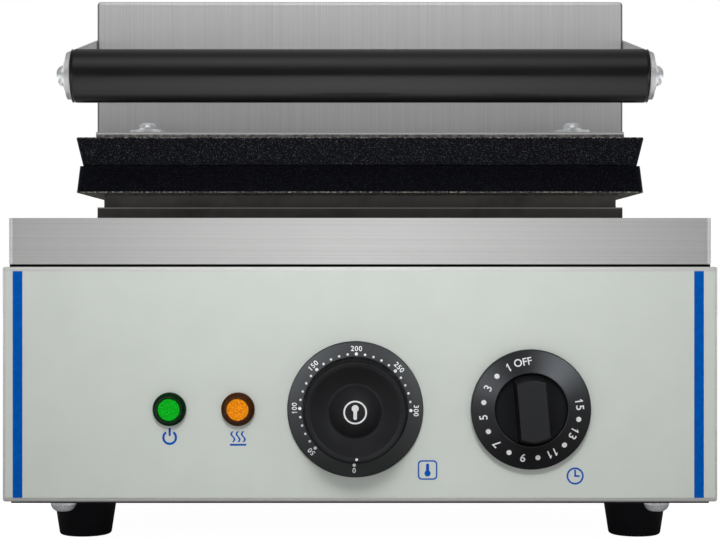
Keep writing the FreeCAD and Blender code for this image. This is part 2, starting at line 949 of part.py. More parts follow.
def upper_cover():

    def hood(inset, top, bend):
        y = (cover_front + inset, cover_rear - inset)
        box = middle_block(cover_width - 2 * inset, y, (flange_low, top))
        return box.makeFillet(bend, edges_where(box, lambda p: p.z > flange_low + same))

    outer = hood(0, cover_top, cover_bend)
    inner = hood(cover_sheet, cover_top - cover_sheet, cover_bend - cover_sheet)
    flange = middle_block(flange_width, (flange_front, flange_rear), (flange_low, flange_high))
    cover = fused(outer, [flange])
    tools = [inner] + flange_screw_holes(flange_high, cover_sheet)
    for side in SIDES.values():
        seats = strap_screw_seats(side)
        tools += medium_screw.holes(seats, X_AXIS * -side, strap_thickness + 2 * cover_sheet)
    return cover.cut(tools)


def cover_washers():
    washers = []
    for seat in cover_screw_seats():
        washer = Part.makeCylinder(washer_diameter / 2, washer_thickness, seat)
        washers.append(washer.cut(medium_screw.hole(seat, Z_AXIS, washer_thickness)))
    return Part.makeCompound(washers)


def cover_screws():
    """The screws through the flanges: two on washers at the front, four in the ears at the rear."""
    below = cover_sheet + gasket_thickness + blind_depth - screw_clearance
    front = [
        medium_screw.solid(seat + V(0, 0, washer_thickness), Z_AXIS * -1, washer_thickness + below)
        for seat in cover_screw_seats()
    ]
    rear = [
        medium_screw.solid(seat, Z_AXIS * -1, ear_thickness + below) for seat in ear_screw_seats()
    ]
    return Part.makeCompound(front + rear)


# Handle

def handle_strap(side):
    x = sorted((side * cover_side, side * strap_outside))
    rear = strap_second_screw + strap_end
    half = strap_width / 2
    bar = block(x, (handle_y, handle_y + rear), (handle_z - half, handle_z + half))
    bar = bar.makeFillet(
        half / 2, edges_where(bar, lambda p: near(p.y, handle_y + rear) and not near(p.z, handle_z))
    )
    nose = round_bar(strap_width, V(x[0], handle_y, handle_z), V(x[1], handle_y, handle_z))
    strap = fused(bar, [nose])
    strap.rotate(V(0, handle_y, handle_z), X_AXIS, strap_slope)
    tools = medium_screw.holes(strap_screw_seats(side), X_AXIS * -side, strap_thickness)
    end = V(side * strap_outside, handle_y, handle_z)
    tools.append(medium_screw.hole(end, X_AXIS * -side, strap_thickness))
    return strap.cut(tools)


def handle_strap_screws():
    screws = []
    for side in SIDES.values():
        for seat in strap_screw_seats(side):
            length = strap_thickness + cover_sheet + screw_reach
            screws.append(medium_screw.solid(seat, X_AXIS * -side, length))
    return Part.makeCompound(screws)


def handle_core():
    start = V(-cover_side, handle_y, handle_z)
    end = V(cover_side, handle_y, handle_z)
    core = round_bar(core_diameter, start, end)
    tools = [
        medium_screw.hole(start, X_AXIS, handle_screw_depth),
        medium_screw.hole(end, X_AXIS * -1, handle_screw_depth),
    ]
    return core.cut(tools)


def handle_grip():
    half = cover_side - grip_end_gap
    start = V(-half, handle_y, handle_z)
    end = V(half, handle_y, handle_z)
    grip = round_bar(grip_diameter, start, end)
    grip = grip.makeFillet(grip_end_round, edges_where(grip, lambda p: near(abs(p.x), half)))
    return grip.cut(round_bar(core_diameter + 2 * core_clearance, start, end))


def handle_washers():
    washers = []
    for side in SIDES.values():
        start = V(side * strap_outside, handle_y, handle_z)
        direction = X_AXIS * side
        washer = Part.makeCylinder(handle_washer_diameter / 2, handle_washer_thickness, start, direction)
        washers.append(washer.cut(medium_screw.hole(start, direction, handle_washer_thickness)))
    return Part.makeCompound(washers)


def handle_screws():
    outside = strap_outside + handle_washer_thickness
    length = outside - cover_side + handle_screw_depth - screw_clearance
    screws = [
        medium_screw.solid(V(side * outside, handle_y, handle_z), X_AXIS * -side, length)
        for side in SIDES.values()
    ]
    return Part.makeCompound(screws)


# Hinge

def hinge_bore(x):
    diameter = pin_diameter + 2 * pin_clearance
    return round_bar(diameter, V(x[0], hinge_y, hinge_z), V(x[1], hinge_y, hinge_z))


def hinge_ear(side):
    leg_x = sorted((side * ear_inside, side * ear_outside))
    pad_x = sorted((side * (ear_outside - ear_pad_width), side * ear_outside))
    pad_front = cover_rear + ear_pad_gap
    bar_top = flange_high + ear_bar_height
    ear_y = (hinge_y - ear_radius, hinge_y + ear_radius)
    pad = block(pad_x, (pad_front, pad_front + ear_pad_depth), (flange_high, flange_high + ear_thickness))
    bar = block(leg_x, (pad_front, ear_y[1]), (flange_high, bar_top))
    drop = block(leg_x, ear_y, (hinge_z, bar_top))
    eye = round_bar(2 * ear_radius, V(leg_x[0], hinge_y, hinge_z), V(leg_x[1], hinge_y, hinge_z))
    leg = fused(bar, [drop, eye])
    ends = (pad_front, ear_y[1])
    top_ends = edges_where(leg, lambda p: near(p.z, bar_top) and any(near(p.y, end) for end in ends))
    leg = leg.makeFillet(ear_thickness, top_ends)
    ear = fused(leg, [pad])
    seats = [seat for seat in ear_screw_seats() if seat.x * side > 0]
    return ear.cut([hinge_bore(leg_x)] + medium_screw.holes(seats, Z_AXIS * -1, ear_thickness))


def hinge_bracket(side):
    plate_x = sorted((side * bracket_inside, side * bracket_outside))
    foot_x = sorted((side * bracket_inside, side * (bracket_outside + bracket_foot)))
    y = (bracket_front(), bracket_rear())
    plate = block(plate_x, y, (tray_floor, hinge_z))
    shoulder = edges_where(plate, lambda p: near(p.y, y[1]) and near(p.z, hinge_z))
    plate = plate.makeFillet(bracket_radius / 2, shoulder)
    eye = round_bar(2 * bracket_radius, V(plate_x[0], hinge_y, hinge_z), V(plate_x[1], hinge_y, hinge_z))
    foot_plate = block(foot_x, y, (tray_floor, tray_floor + bracket_thickness))
    stop = stop_point()
    stud = round_bar(
        stop_diameter,
        stop + V(side * bracket_inside, 0, 0),
        stop + V(side * ear_inside, 0, 0),
    )
    bracket = fused(plate, [eye, foot_plate, stud])
    seats = [seat for seat in bracket_screw_seats() if seat.x * side > 0]
    tools = [hinge_bore(plate_x)] + medium_screw.holes(seats, Z_AXIS * -1, bracket_thickness)
    return bracket.cut(tools)


def hinge_bracket_screws():
    length = bracket_thickness + tray_sheet + case_sheet + screw_reach
    return medium_screw.solids(bracket_screw_seats(), Z_AXIS * -1, length)


def hinge_pin():
    half = bracket_outside + clip_thickness + pin_end
    pin = round_bar(pin_diameter, V(-half, hinge_y, hinge_z), V(half, hinge_y, hinge_z))
    grooves = []
    for side in SIDES.values():
        start = V(side * bracket_outside, hinge_y, hinge_z)
        end = start + V(side * clip_thickness, 0, 0)
        neck = round_bar(pin_diameter - 2 * clip_groove_depth, start, end)
        grooves.append(round_bar(pin_diameter, start, end).cut(neck))
    return pin.cut(grooves)


def hinge_clips():
    clips = []
    neck = pin_diameter - 2 * clip_groove_depth
    for side in SIDES.values():
        start = V(side * bracket_outside, hinge_y, hinge_z)
        end = start + V(side * clip_thickness, 0, 0)
        x = sorted((start.x, end.x))
        ring = round_bar(clip_diameter, start, end).cut(round_bar(neck, start, end))
        mouth = block(x, (hinge_y, hinge_y + clip_diameter), (hinge_z - neck / 2, hinge_z + neck / 2))
        clips.append(ring.cut(mouth))
    return Part.makeCompound(clips)


# Controls

def control_body(x):
    """A thermostat or timer: a box with a mounting flange and a bushing for its shaft."""
    inside = panel_inside
    half = control_body_width / 2
    body_y = (inside, inside + control_body_depth)
    body = block((x - half, x + half), body_y, (control_z - half, control_z + half))
    flange = block(
        (x - control_flange_width / 2, x + control_flange_width / 2),
        (inside, inside + control_flange),
        (control_z - control_flange_height / 2, control_z + control_flange_height / 2),
    )
    bushing = round_bar(bushing_diameter, V(x, panel_face, control_z), V(x, inside, control_z))
    body = fused(body, [flange, bushing])
    bore = shaft_diameter + 2 * shaft_clearance
    bottom = inside + shaft_depth
    tools = [round_bar(bore, V(x, panel_face, control_z), V(x, bottom, control_z))]
    stud_hole = stud_diameter + 2 * stud_clearance
    for point in stud_points(inside):
        if abs(point.x - x) < stud_spacing:
            tools.append(round_bar(stud_hole, point, point + V(0, control_flange, 0)))
    return body.cut(tools)


def control_nuts():
    seat_y = panel_inside + control_flange
    bore = stud_diameter + 2 * stud_clearance
    nuts = [
        hex_nut(point, Y_AXIS, stud_nut_width, stud_nut_thickness, bore) for point in stud_points(seat_y)
    ]
    return Part.makeCompound(nuts)


def control_shaft(x, knob_back):
    """A shaft from the bottom of its bushing's bore into the knob."""
    rear = panel_inside + shaft_depth - shaft_clearance
    front = panel_face - knob_back - knob_bore_depth + shaft_clearance
    return round_bar(shaft_diameter, V(x, rear, control_z), V(x, front, control_z))


def knob_bore(x, knob_back):
    diameter = shaft_diameter + 2 * shaft_clearance
    start = V(x, panel_face - knob_back, control_z)
    return round_bar(diameter, start, start - V(0, knob_bore_depth, 0))


def knob_point(x, radius, proud):
    """A point of a knob's section: its radius, and how far it stands off the overlay."""
    return V(x + radius, panel_face - proud, control_z)


def thermostat_bezel():
    x = thermostat_x
    start = V(x, panel_face, control_z)
    ring = round_bar(bezel_diameter, start, start - V(0, bezel_thickness, 0))
    ring = ring.makeFillet(
        bezel_edge, edges_where(ring, lambda p: near(p.y, panel_face - bezel_thickness))
    )
    pegs = []
    for side in (-1, 1):
        peg = start + V(0, 0, side * bezel_peg_spacing / 2)
        pegs.append(round_bar(bezel_peg_diameter, peg, peg + V(0, film_thickness + case_sheet, 0)))
    ring = fused(ring, pegs)
    hole = bushing_diameter + 2 * bushing_clearance
    return ring.cut(round_bar(hole, start, start - V(0, bezel_thickness, 0)))


def thermostat_knob():
    back = bezel_thickness + knob_gap
    outside = thermostat_knob_diameter / 2
    edge = thermostat_knob_edge
    rim = outside - edge - thermostat_knob_rim
    hub = thermostat_hub_diameter / 2
    flat = thermostat_hub_flat / 2
    face = thermostat_knob_face
    floor = face - thermostat_dish_depth
    crown = floor + thermostat_hub_rise
    soft = edge * (1 - math.sqrt(0.5))

    def at(radius, proud):
        return knob_point(thermostat_x, radius, proud)

    outline = [
        line(at(0, back), at(outside, back)),
        line(at(outside, back), at(outside, face - edge)),
        arc(at(outside, face - edge), at(outside - soft, face - soft), at(outside - edge, face)),
        line(at(outside - edge, face), at(rim, face)),
        arc(at(rim, face), at((rim + hub) / 2, floor + thermostat_dish_sag), at(hub, floor)),
        arc(at(hub, floor), at((hub + flat) / 2, floor + thermostat_hub_swell), at(flat, crown)),
        line(at(flat, crown), at(0, crown)),
        line(at(0, crown), at(0, back)),
    ]
    knob = spun(outline, V(thermostat_x, 0, control_z), Y_AXIS)
    return knob.cut(knob_bore(thermostat_x, back))


def timer_bar():
    """The grip bar that crosses the well, with sloping sides and round, sloping ends."""
    radius = timer_well_diameter / 2
    floor = timer_skirt_face - timer_well_depth
    height = timer_bar_face - floor

    def outline(proud, side_inset):
        across = timer_bar_width / 2 - side_inset
        y = panel_face - proud
        turns = [(-1, -1), (1, -1), (1, 1), (-1, 1), (-1, -1)]
        return Part.makePolygon([V(timer_x + dx * across, y, control_z + dz * radius) for dx, dz in turns])

    slab = Part.makeLoft([outline(floor, 0), outline(timer_bar_face, timer_bar_side_draft)], True, True)
    start = V(timer_x, panel_face - floor, control_z)
    ends = Part.makeCone(radius, radius - timer_bar_end_draft, height, start, Y_AXIS * -1)
    bar = slab.common(ends)
    face_y = panel_face - timer_bar_face
    bar = bar.makeFillet(timer_bar_round, edges_where(bar, lambda p: near(p.y, face_y)))
    bar.rotate(V(timer_x, 0, control_z), Y_AXIS, -timer_bar_turn)
    return bar


def timer_knob():
    radius = timer_skirt_diameter / 2
    well = timer_well_diameter / 2
    floor = timer_skirt_face - timer_well_depth
    section = [
        (0, knob_gap),
        (radius, knob_gap),
        (radius, timer_skirt_edge),
        (well, timer_skirt_face),
        (well, floor),
        (0, floor),
        (0, knob_gap),
    ]
    points = [knob_point(timer_x, across, proud) for across, proud in section]
    outline = [line(start, end) for start, end in zip(points, points[1:])]
    disc = spun(outline, V(timer_x, 0, control_z), Y_AXIS)
    rim_y = panel_face - timer_skirt_edge
    lip_y = panel_face - timer_skirt_face
    rounded = edges_where(disc, lambda p: near(p.y, rim_y) or near(p.y, lip_y))
    disc = disc.makeFillet(timer_skirt_round, rounded)
    return fused(disc, [timer_bar()]).cut(knob_bore(timer_x, knob_gap))


def pilot_lens(x):
    start = V(x, panel_face, control_z)
    lens = round_bar(lens_diameter, start, start - V(0, lens_height, 0))
    lens = lens.makeFillet(lens_edge, edges_where(lens, lambda p: near(p.y, panel_face - lens_height)))
    seat = light_flange_diameter + 2 * light_clearance
    depth = light_flange_thickness + light_clearance
    return lens.cut(round_bar(seat, start, start - V(0, depth, 0)))


def light_bodies():
    bodies = []
    for x in (power_light_x, heat_light_x):
        start = V(x, panel_face, control_z)
        barrel = round_bar(light_barrel_diameter, start, start + V(0, light_barrel_length, 0))
        flange = round_bar(light_flange_diameter, start, start - V(0, light_flange_thickness, 0))
        bodies.append(fused(barrel, [flange]))
    return Part.makeCompound(bodies)


def light_nuts():
    bore = light_barrel_diameter + 2 * light_clearance
    nuts = [
        hex_nut(V(x, panel_inside, control_z), Y_AXIS, light_nut_width, light_nut_thickness, bore)
        for x in (power_light_x, heat_light_x)
    ]
    return Part.makeCompound(nuts)


def thermostat_capillary():
    """The bulb in the lower plate and the fine tube from it down to the thermostat."""
    bulb_z = pan_top + bulb_clearance + bulb_diameter / 2
    bulb_start = V(capillary_x + capillary_bend, plate_middle, bulb_z)
    bulb = round_bar(bulb_diameter, bulb_start, bulb_start + V(bulb_length, 0, 0))
    body_y = panel_inside + control_body_depth / 2
    body_top = control_z + control_body_width / 2
    level = case_top - case_sheet - capillary_drop
    share = 1 - math.sqrt(0.5)
    bend = capillary_bend
    x = capillary_x
    points = [
        bulb_start,
        V(x + bend * share, plate_middle, bulb_z - bend * share),
        V(x, plate_middle, bulb_z - bend),
        V(x, plate_middle, level + bend),
        V(x, plate_middle - bend * share, level + bend * share),
        V(x, plate_middle - bend, level),
        V(x, body_y + bend, level),
        V(x, body_y + bend * share, level - bend * share),
        V(x, body_y, level - bend),
        V(x, body_y, body_top),
    ]
    path = Part.Wire([
        arc(points[0], points[1], points[2]),
        line(points[2], points[3]),
        arc(points[3], points[4], points[5]),
        line(points[5], points[6]),
        arc(points[6], points[7], points[8]),
        line(points[8], points[9]),
    ])
    section = Part.Wire(Part.Circle(bulb_start, X_AXIS, capillary_diameter / 2).toShape())
    return fused(bulb, [path.makePipeShell([section], True, False)])


# Electrical parts at the rear

def terminal_block():
    x = (terminal_x - terminal_length / 2, terminal_x + terminal_length / 2)
    rear = case_rear - terminal_rear_gap
    y = (rear - terminal_depth, rear)
    body = block(x, y, (case_bottom, case_bottom + terminal_height))
    pole = terminal_length / terminal_poles
    middle_z = case_bottom + terminal_height / 2
    tools = []
    for index in range(terminal_poles):
        place = x[0] + pole * (index + 0.5)
        tools.append(round_bar(terminal_bore, V(place, y[0], middle_z), V(place, y[1], middle_z)))
    for index in range(1, terminal_poles):
        place = x[0] + pole * index
        half = terminal_slot / 2
        tools.append(block((place - half, place + half), y, (middle_z, case_bottom + terminal_height)))
    return body.cut(tools)


def gland_point(y):
    return V(gland_x, y, gland_z)


def mains_gland():
    inside = shell_rear - gland_thread_inside
    hex_rear = case_rear + gland_hex_thickness
    ends = (gland_point(inside), gland_point(hex_rear + gland_thread_outside))
    thread = round_bar(gland_thread_diameter, *ends)
    collar = hex_nut(
        gland_point(case_rear), Y_AXIS, gland_hex_width, gland_hex_thickness, gland_bore_diameter
    )
    return fused(thread, [collar]).cut(round_bar(gland_bore_diameter, *ends))


def mains_gland_cap():
    front = case_rear + gland_hex_thickness + gland_cap_gap
    rear = front + gland_cap_length
    cap = round_bar(gland_cap_diameter, gland_point(front), gland_point(rear))
    cap = cap.makeFillet(gland_cap_edge, edges_where(cap, lambda p: near(p.y, rear)))
    socket = gland_thread_diameter + 2 * gland_hole_clearance
    socket_rear = case_rear + gland_hex_thickness + gland_thread_outside + gland_cap_gap
    tools = [
        round_bar(socket, gland_point(front), gland_point(socket_rear)),
        round_bar(gland_bore_diameter, gland_point(front), gland_point(rear)),
    ]
    return cap.cut(tools)


def mains_gland_nut():
    bore = gland_thread_diameter + 2 * gland_hole_clearance
    return hex_nut(gland_point(shell_rear), Y_AXIS * -1, gland_nut_width, gland_nut_thickness, bore)


def nodes():
    """Every piece by name."""
    bezel_back = bezel_thickness + knob_gap
    pieces = {
        "base_shell": base_shell(),
        "front_panel": front_panel(),
        "rear_panel": rear_panel(),
        "rear_panel_screws": rear_panel_screws(),
        "bottom_plate": bottom_plate(),
        "bottom_screws": bottom_screws(),
        "foot_screws": foot_screws(),
        "drip_tray": drip_tray(),
        "plate_support": plate_support(),
        "support_screws": support_screws(),
        "lower_heater_pan": lower_heater_pan(),
        "lower_insulation": lower_insulation(),
        "lower_retainer": lower_retainer(),
        "lower_heater": lower_layout.solid(pan_top + channel_width / 2, -1),
        "lower_plate": lower_plate(),
        "lower_plate_screws": lower_plate_screws(),
        "thermostat_body": control_body(thermostat_x),
        "thermostat_capillary": thermostat_capillary(),
        "thermostat_bezel": thermostat_bezel(),
        "thermostat_shaft": control_shaft(thermostat_x, bezel_back),
        "thermostat_knob": thermostat_knob(),
        "timer_body": control_body(timer_x),
        "timer_shaft": control_shaft(timer_x, knob_gap),
        "timer_knob": timer_knob(),
        "control_nuts": control_nuts(),
        "power_light": pilot_lens(power_light_x),
        "heat_light": pilot_lens(heat_light_x),
        "light_bodies": light_bodies(),
        "light_nuts": light_nuts(),
        "terminal_block": terminal_block(),
        "mains_gland": mains_gland(),
        "mains_gland_cap": mains_gland_cap(),
        "mains_gland_nut": mains_gland_nut(),
        "hinge_bracket_screws": hinge_bracket_screws(),
        "hinge_pin": hinge_pin(),
        "hinge_clips": hinge_clips(),
        "upper_plate": upper_plate(),
        "upper_heater": upper_layout.solid(upper_back - channel_width / 2, 1),
        "upper_retainer": upper_retainer(),
        "upper_retainer_screws": upper_retainer_screws(),
        "upper_insulation": upper_insulation(),
        "cover_gasket": cover_gasket(),
        "upper_cover": upper_cover(),
        "cover_washers": cover_washers(),
        "cover_screws": cover_screws(),
        "handle_strap_screws": handle_strap_screws(),
        "handle_grip": handle_grip(),
        "handle_core": handle_core(),
        "handle_washers": handle_washers(),
        "handle_screws": handle_screws(),
    }
    for name, centre in foot_centres().items():
        pieces[name] = foot(centre)
    for name, side in SIDES.items():
        pieces["hinge_bracket_" + name] = hinge_bracket(side)
        pieces["hinge_ear_" + name] = hinge_ear(side)
        pieces["handle_strap_" + name] = handle_strap(side)
    return pieces


os.makedirs("parts", exist_ok=True)
for node, shape in nodes().items():
    shape.exportStep(os.path.join("parts", node + ".step"))
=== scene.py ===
"""Looks of the waffle cone maker: finishes, printed scales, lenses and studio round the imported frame."""
import json
import math

import bmesh
import bpy
from mathutils import Matrix, Vector


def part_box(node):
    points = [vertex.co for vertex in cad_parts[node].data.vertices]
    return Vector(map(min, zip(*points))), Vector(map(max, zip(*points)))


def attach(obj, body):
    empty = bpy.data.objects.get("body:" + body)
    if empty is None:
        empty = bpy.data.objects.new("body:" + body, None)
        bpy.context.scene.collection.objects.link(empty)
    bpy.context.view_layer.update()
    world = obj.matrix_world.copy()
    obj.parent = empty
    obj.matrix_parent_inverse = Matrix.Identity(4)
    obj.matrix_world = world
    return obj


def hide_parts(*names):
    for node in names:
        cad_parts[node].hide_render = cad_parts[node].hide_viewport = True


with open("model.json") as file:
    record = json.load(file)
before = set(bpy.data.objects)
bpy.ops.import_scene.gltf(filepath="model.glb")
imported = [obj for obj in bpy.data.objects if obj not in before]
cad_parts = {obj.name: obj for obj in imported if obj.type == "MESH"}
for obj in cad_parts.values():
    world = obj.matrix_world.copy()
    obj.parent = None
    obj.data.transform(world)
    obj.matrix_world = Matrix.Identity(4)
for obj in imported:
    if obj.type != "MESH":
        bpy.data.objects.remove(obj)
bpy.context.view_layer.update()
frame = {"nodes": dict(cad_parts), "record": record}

mm = 0.001
to_front = Vector((0.0, -1.0, 0.0))


def middle(node):
    """The middle of a frame node's box."""
    low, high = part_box(node)
    return (low + high) / 2


# Places taken from the frame
film_low, film_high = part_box("front_panel")
film_face = film_low.y
bezel_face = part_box("thermostat_bezel")[0].y
thermostat = middle("thermostat_bezel")
timer = middle("timer_knob")
thermostat_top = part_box("thermostat_knob")[0].y
ring_radius = thermostat.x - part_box("thermostat_bezel")[0].x
plate_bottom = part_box("lower_plate")[0].z
plate_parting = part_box("lower_plate")[1].z
plate_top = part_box("upper_plate")[1].z
tray_low, tray_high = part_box("drip_tray")
grip_low, grip_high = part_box("handle_grip")
strap_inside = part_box("handle_strap_right")[0].x
support_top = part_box("plate_support")[1].z
cover_low, cover_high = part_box("upper_cover")

# Printing
print_height = 0.1 * mm
print_sink = 0.03 * mm
letter_weight = 0.014
figure_spacing = 0.56
left_stripe = (-162.4 * mm, -157.9 * mm)
right_stripe = (156.3 * mm, 160.8 * mm)

# Steps in the round stretches of an outline
arc_steps = 24
circle_steps = 40
corner_steps = 8

# Signs on the film and on the thermostat's hub
power_sign_size = 8.0 * mm
heat_sign_size = 7.6 * mm
light_sign_drop = 13.3 * mm
heat_setting_size = 9.1 * mm
heat_setting_place = (31.6 * mm, 35.8 * mm)
clock_size = 8.0 * mm
clock_place = (100.6 * mm, 33.0 * mm)
hub_ring_radius = 5.4 * mm
hub_ring_inside = 4.65 * mm
hub_sign_size = 6.8 * mm

# Thermostat scale, with angles in degrees
scale_number_radius = 28.3 * mm
scale_number_size = 3.3 * mm
scale_dot_radius = 25.9 * mm
scale_dot_size = 0.57 * mm
scale_mark_size = 0.78 * mm
scale_zero_angle = 268.9
scale_turn_per_degree = -0.9
scale_step = 10
scale_number_step = 50
scale_top = 300
pointer_radius = 21.6 * mm
pointer_size = 0.66 * mm
pointer_angle = 271.8

# Thermostat ring: a coned face that falls to a rounded rim
ring_bore = 8.0 * mm
ring_fall = 1.2 * mm
ring_flat_radius = 23.0 * mm
ring_edge = 0.6 * mm

# Thermostat knob: a ribbed, tapered wall round a deep dish with a domed hub
knob_gap = 0.5 * mm
knob_foot_radius = 24.7 * mm
knob_foot_height = 0.4 * mm
knob_face_radius = 23.5 * mm
knob_edge = 0.9 * mm
knob_rim = 1.7 * mm
knob_face_drop = 0.6 * mm
knob_bore = 3.2 * mm
knob_steps = 240
knob_ribs = 60
rib_depth = 0.3 * mm
rib_start = 1.2 * mm
rib_inset = 0.1 * mm
dish_depth = 4.6 * mm
dish_bow = 0.35 * mm
hub_radius = 12.3 * mm
hub_flat = 5.7 * mm
hub_bow = 0.6 * mm
bow_steps = 10
edge_steps = 6

# Timer scale, with angles in degrees, on a sloping skirt round a well
timer_number_radius = 22.4 * mm
timer_number_size = 5.3 * mm
timer_off_share = 0.92
timer_dot_size = 1.2 * mm
timer_zero_angle = 100.2
timer_turn_per_minute = 17.75
timer_minutes = 15
skirt_edge_radius = 28.0 * mm
skirt_edge_proud = 3.6 * mm
skirt_top_radius = 16.7 * mm
skirt_top_proud = 6.0 * mm
well_radius = 16.8 * mm
well_proud = 3.4 * mm

# Lenses: a stepped flange round a sunk disc of facets
lens_disc_radius = 5.1 * mm
lens_disc_lift = 0.1 * mm
lens_well = 0.8 * mm
lens_step = 0.7 * mm
lens_chamfer = 0.4 * mm
lens_fillet = 0.35 * mm
lens_round = 0.15 * mm
lens_facet_pitch = 0.62 * mm
lens_facet_height = 0.3 * mm
lens_steps = 72

# Bright rings in the gaps between the grip and the straps
grip_ring_bore = 5.4 * mm
grip_ring_edge = 0.15 * mm
grip_ring_start_share = 0.05
grip_ring_share = 0.4
grip_ring_steps = 64

# Black strip of painted shade in the crease under the tray
crease_shade_inset = 0.15 * mm
crease_shade_width = 1.6 * mm
crease_shade_height = 1.24 * mm
tray_corner = 3.0 * mm

# Usual span of a noise's values
noise_low = 0.3
noise_high = 0.7

# Brushing of the sheet, in streaks to the metre across and along it
streaks_across = 1900.0
streaks_along = 9.0
streak_share = 0.7
streak_dark = 0.9
streak_light = 1.06
# Painted shade on the upright bends, by how far a face looks sideways: the width of its rise and where it
# fades out
bend_shade_width = 0.25
bend_shade_fade_start = 0.93
bend_shade_fade_end = 0.99

# Sparkle in the plates' coat, in flakes to the metre, and the bare metal at their backs
flake_scale = 2700.0
flake_edge = (0.6, 0.35)
flake_rarity = 6.0
# Share of the sparkle kept on the lower plate, a painted shade that darkens it
lower_plate_shaded_sparkle = 0.3
parting_blend = 0.5 * mm
bare_bottom = (0.6 * mm, 0.1 * mm)
bare_top = (0.7 * mm, 0.2 * mm)

# Cover: the share of its brightness that a painted shade leaves at its foot, the margin under its top
# where that shade starts, and the width of a painted highlight on its flange's edge
cover_shade_level = 0.6
cover_shade_margin = 3.0 * mm
flange_highlight_width = 1.4 * mm

# Upper edge of the plate support, painted in a pale band
pale_edge_width = 0.7 * mm
pale_edge_margin = 0.1 * mm

# Blacks of the dials, and a deeper black painted as shade on the knob's wall and in the tray's crease
knob_black = (0.0032, 0.0034, 0.0044)
timer_black = (0.007, 0.007, 0.0084)
ring_black = (0.004, 0.0042, 0.0052)
dial_face_black = (0.018, 0.018, 0.0195)
painted_shade_black = (0.0016, 0.0016, 0.0018)

# Grain of the smooth plastics
fine_grain = 0.01 * mm

# Camera, matched to the photograph
camera_place = (0.0, -0.9455, 0.1298)
camera_lens = 85.0
camera_sensor = 36.0

# Room: its levels by the height and by the side share of a direction
low_room_top = 0.05
high_room_bottom = 0.1
low_room_by_side = [(0.0, 0.05), (0.22, 0.06), (0.36, 0.6), (0.92, 1.4)]
high_room_by_side = [(0.0, 0.5), (0.12, 0.45), (0.25, 0.26), (0.5, 0.2), (1.0, 0.3)]
high_room_by_height = [(0.08, 0.25), (0.15, 0.45), (0.25, 0.42), (0.4, 0.45), (0.7, 0.75), (1.0, 0.8)]
soft_room_level = 0.36

# Lights over the part, with their spread in degrees and their power in watts
key_place = (-0.02, -0.6, 0.85)
key_aim = (0.03, -0.15, 0.16)
key_size = (0.8, 0.9)
key_spread = 60.0
key_power = 0.23
fill_place = (0.0, -0.8, 0.66)
fill_aim = (0.005, -0.15, 0.175)
fill_size = (0.38, 0.25)
fill_spread = 33.0
fill_power = 0.2

# Softboxes beside the camera, for the dials alone
sheen_left_place = (-0.3, -0.97, 0.28)
sheen_right_place = (0.38, -0.95, 0.3)
sheen_power = 3.6
print_light_place = (0.0, -0.92, 0.09)
print_light_power = 1.3
dial_light_size = (0.25, 0.25)
dial_light_spread = 180.0
dial_light_colour = (0.88, 0.94, 1.0)

# Floor: its levels for the camera, for soft light, and for mirrored rays by their length and place
floor_half = 4.0
floor_drop = 0.4 * mm
floor_greys = (0.3, 0.32)
floor_shown_level = 0.98
floor_soft_level = 0.28
floor_pool_start = 0.11
floor_pool_end = 0.26
floor_near_level = 0.03
floor_far_level = 1.35
floor_fade_start = 1.2
floor_fade_end = 3.0
floor_end_level = 0.3
floor_side_reach = 1.2
floor_by_side = [(0.04, 1.0), (0.33, 0.2), (0.52, 0.2), (0.67, 1.4)]


class Nodes:
    """Short calls for the nodes of a material or of the world."""

    def __init__(self, owner):
        owner.use_nodes = True
        self.tree = owner.node_tree

    def put(self, socket, value):
        """Sets a number or colour on a socket, or links another node's output to it."""
        if isinstance(value, bpy.types.NodeSocket):
            self.tree.links.new(value, socket)
        else:
            socket.default_value = value

    def add(self, kind, inputs=None, **settings):
        node = self.tree.nodes.new("ShaderNode" + kind)
        for key, value in settings.items():
            setattr(node, key, value)
        for key, value in (inputs or {}).items():
            self.put(node.inputs[key], value)
        return node

    def axes(self, vector):
        return self.add("SeparateXYZ", {"Vector": vector}).outputs

    def math(self, operation, first, second=0.0):
        return self.add("Math", {0: first, 1: second}, operation=operation).outputs["Value"]

    def ramp(self, factor, stops):
        """A colour that changes with the factor through the stops, each a place and a colour."""
        node = self.add("ValToRGB", {"Fac": factor})
        elements = node.color_ramp.elements
        while len(elements) < len(stops):
            elements.new(1.0)
        for element, (position, colour) in zip(elements, stops):
            element.position = position
            element.color = opaque(colour)
        return node.outputs["Color"]

    def spread(self, value, low, high, new_low=0.0, new_high=1.0):
        """Maps the value from one span to another and holds it there."""
        inputs = {"Value": value, "From Min": low, "From Max": high, "To Min": new_low, "To Max": new_high}
        return self.add("MapRange", inputs).outputs["Result"]

    def mix(self, factor, first, second, blend="MIX"):
        """Mixes two colours, by the numbered sockets that the node has for colours."""
        node = self.add("Mix", {0: factor, 6: first, 7: second}, data_type="RGBA", blend_type=blend)
        return node.outputs[2]

    def chosen(self, ray, otherwise, shader):
        """One shader for a kind of ray, and another for every other ray."""
        asked = self.add("LightPath").outputs[ray]
        return self.add("MixShader", {"Fac": asked, 1: otherwise, 2: shader}).outputs["Shader"]


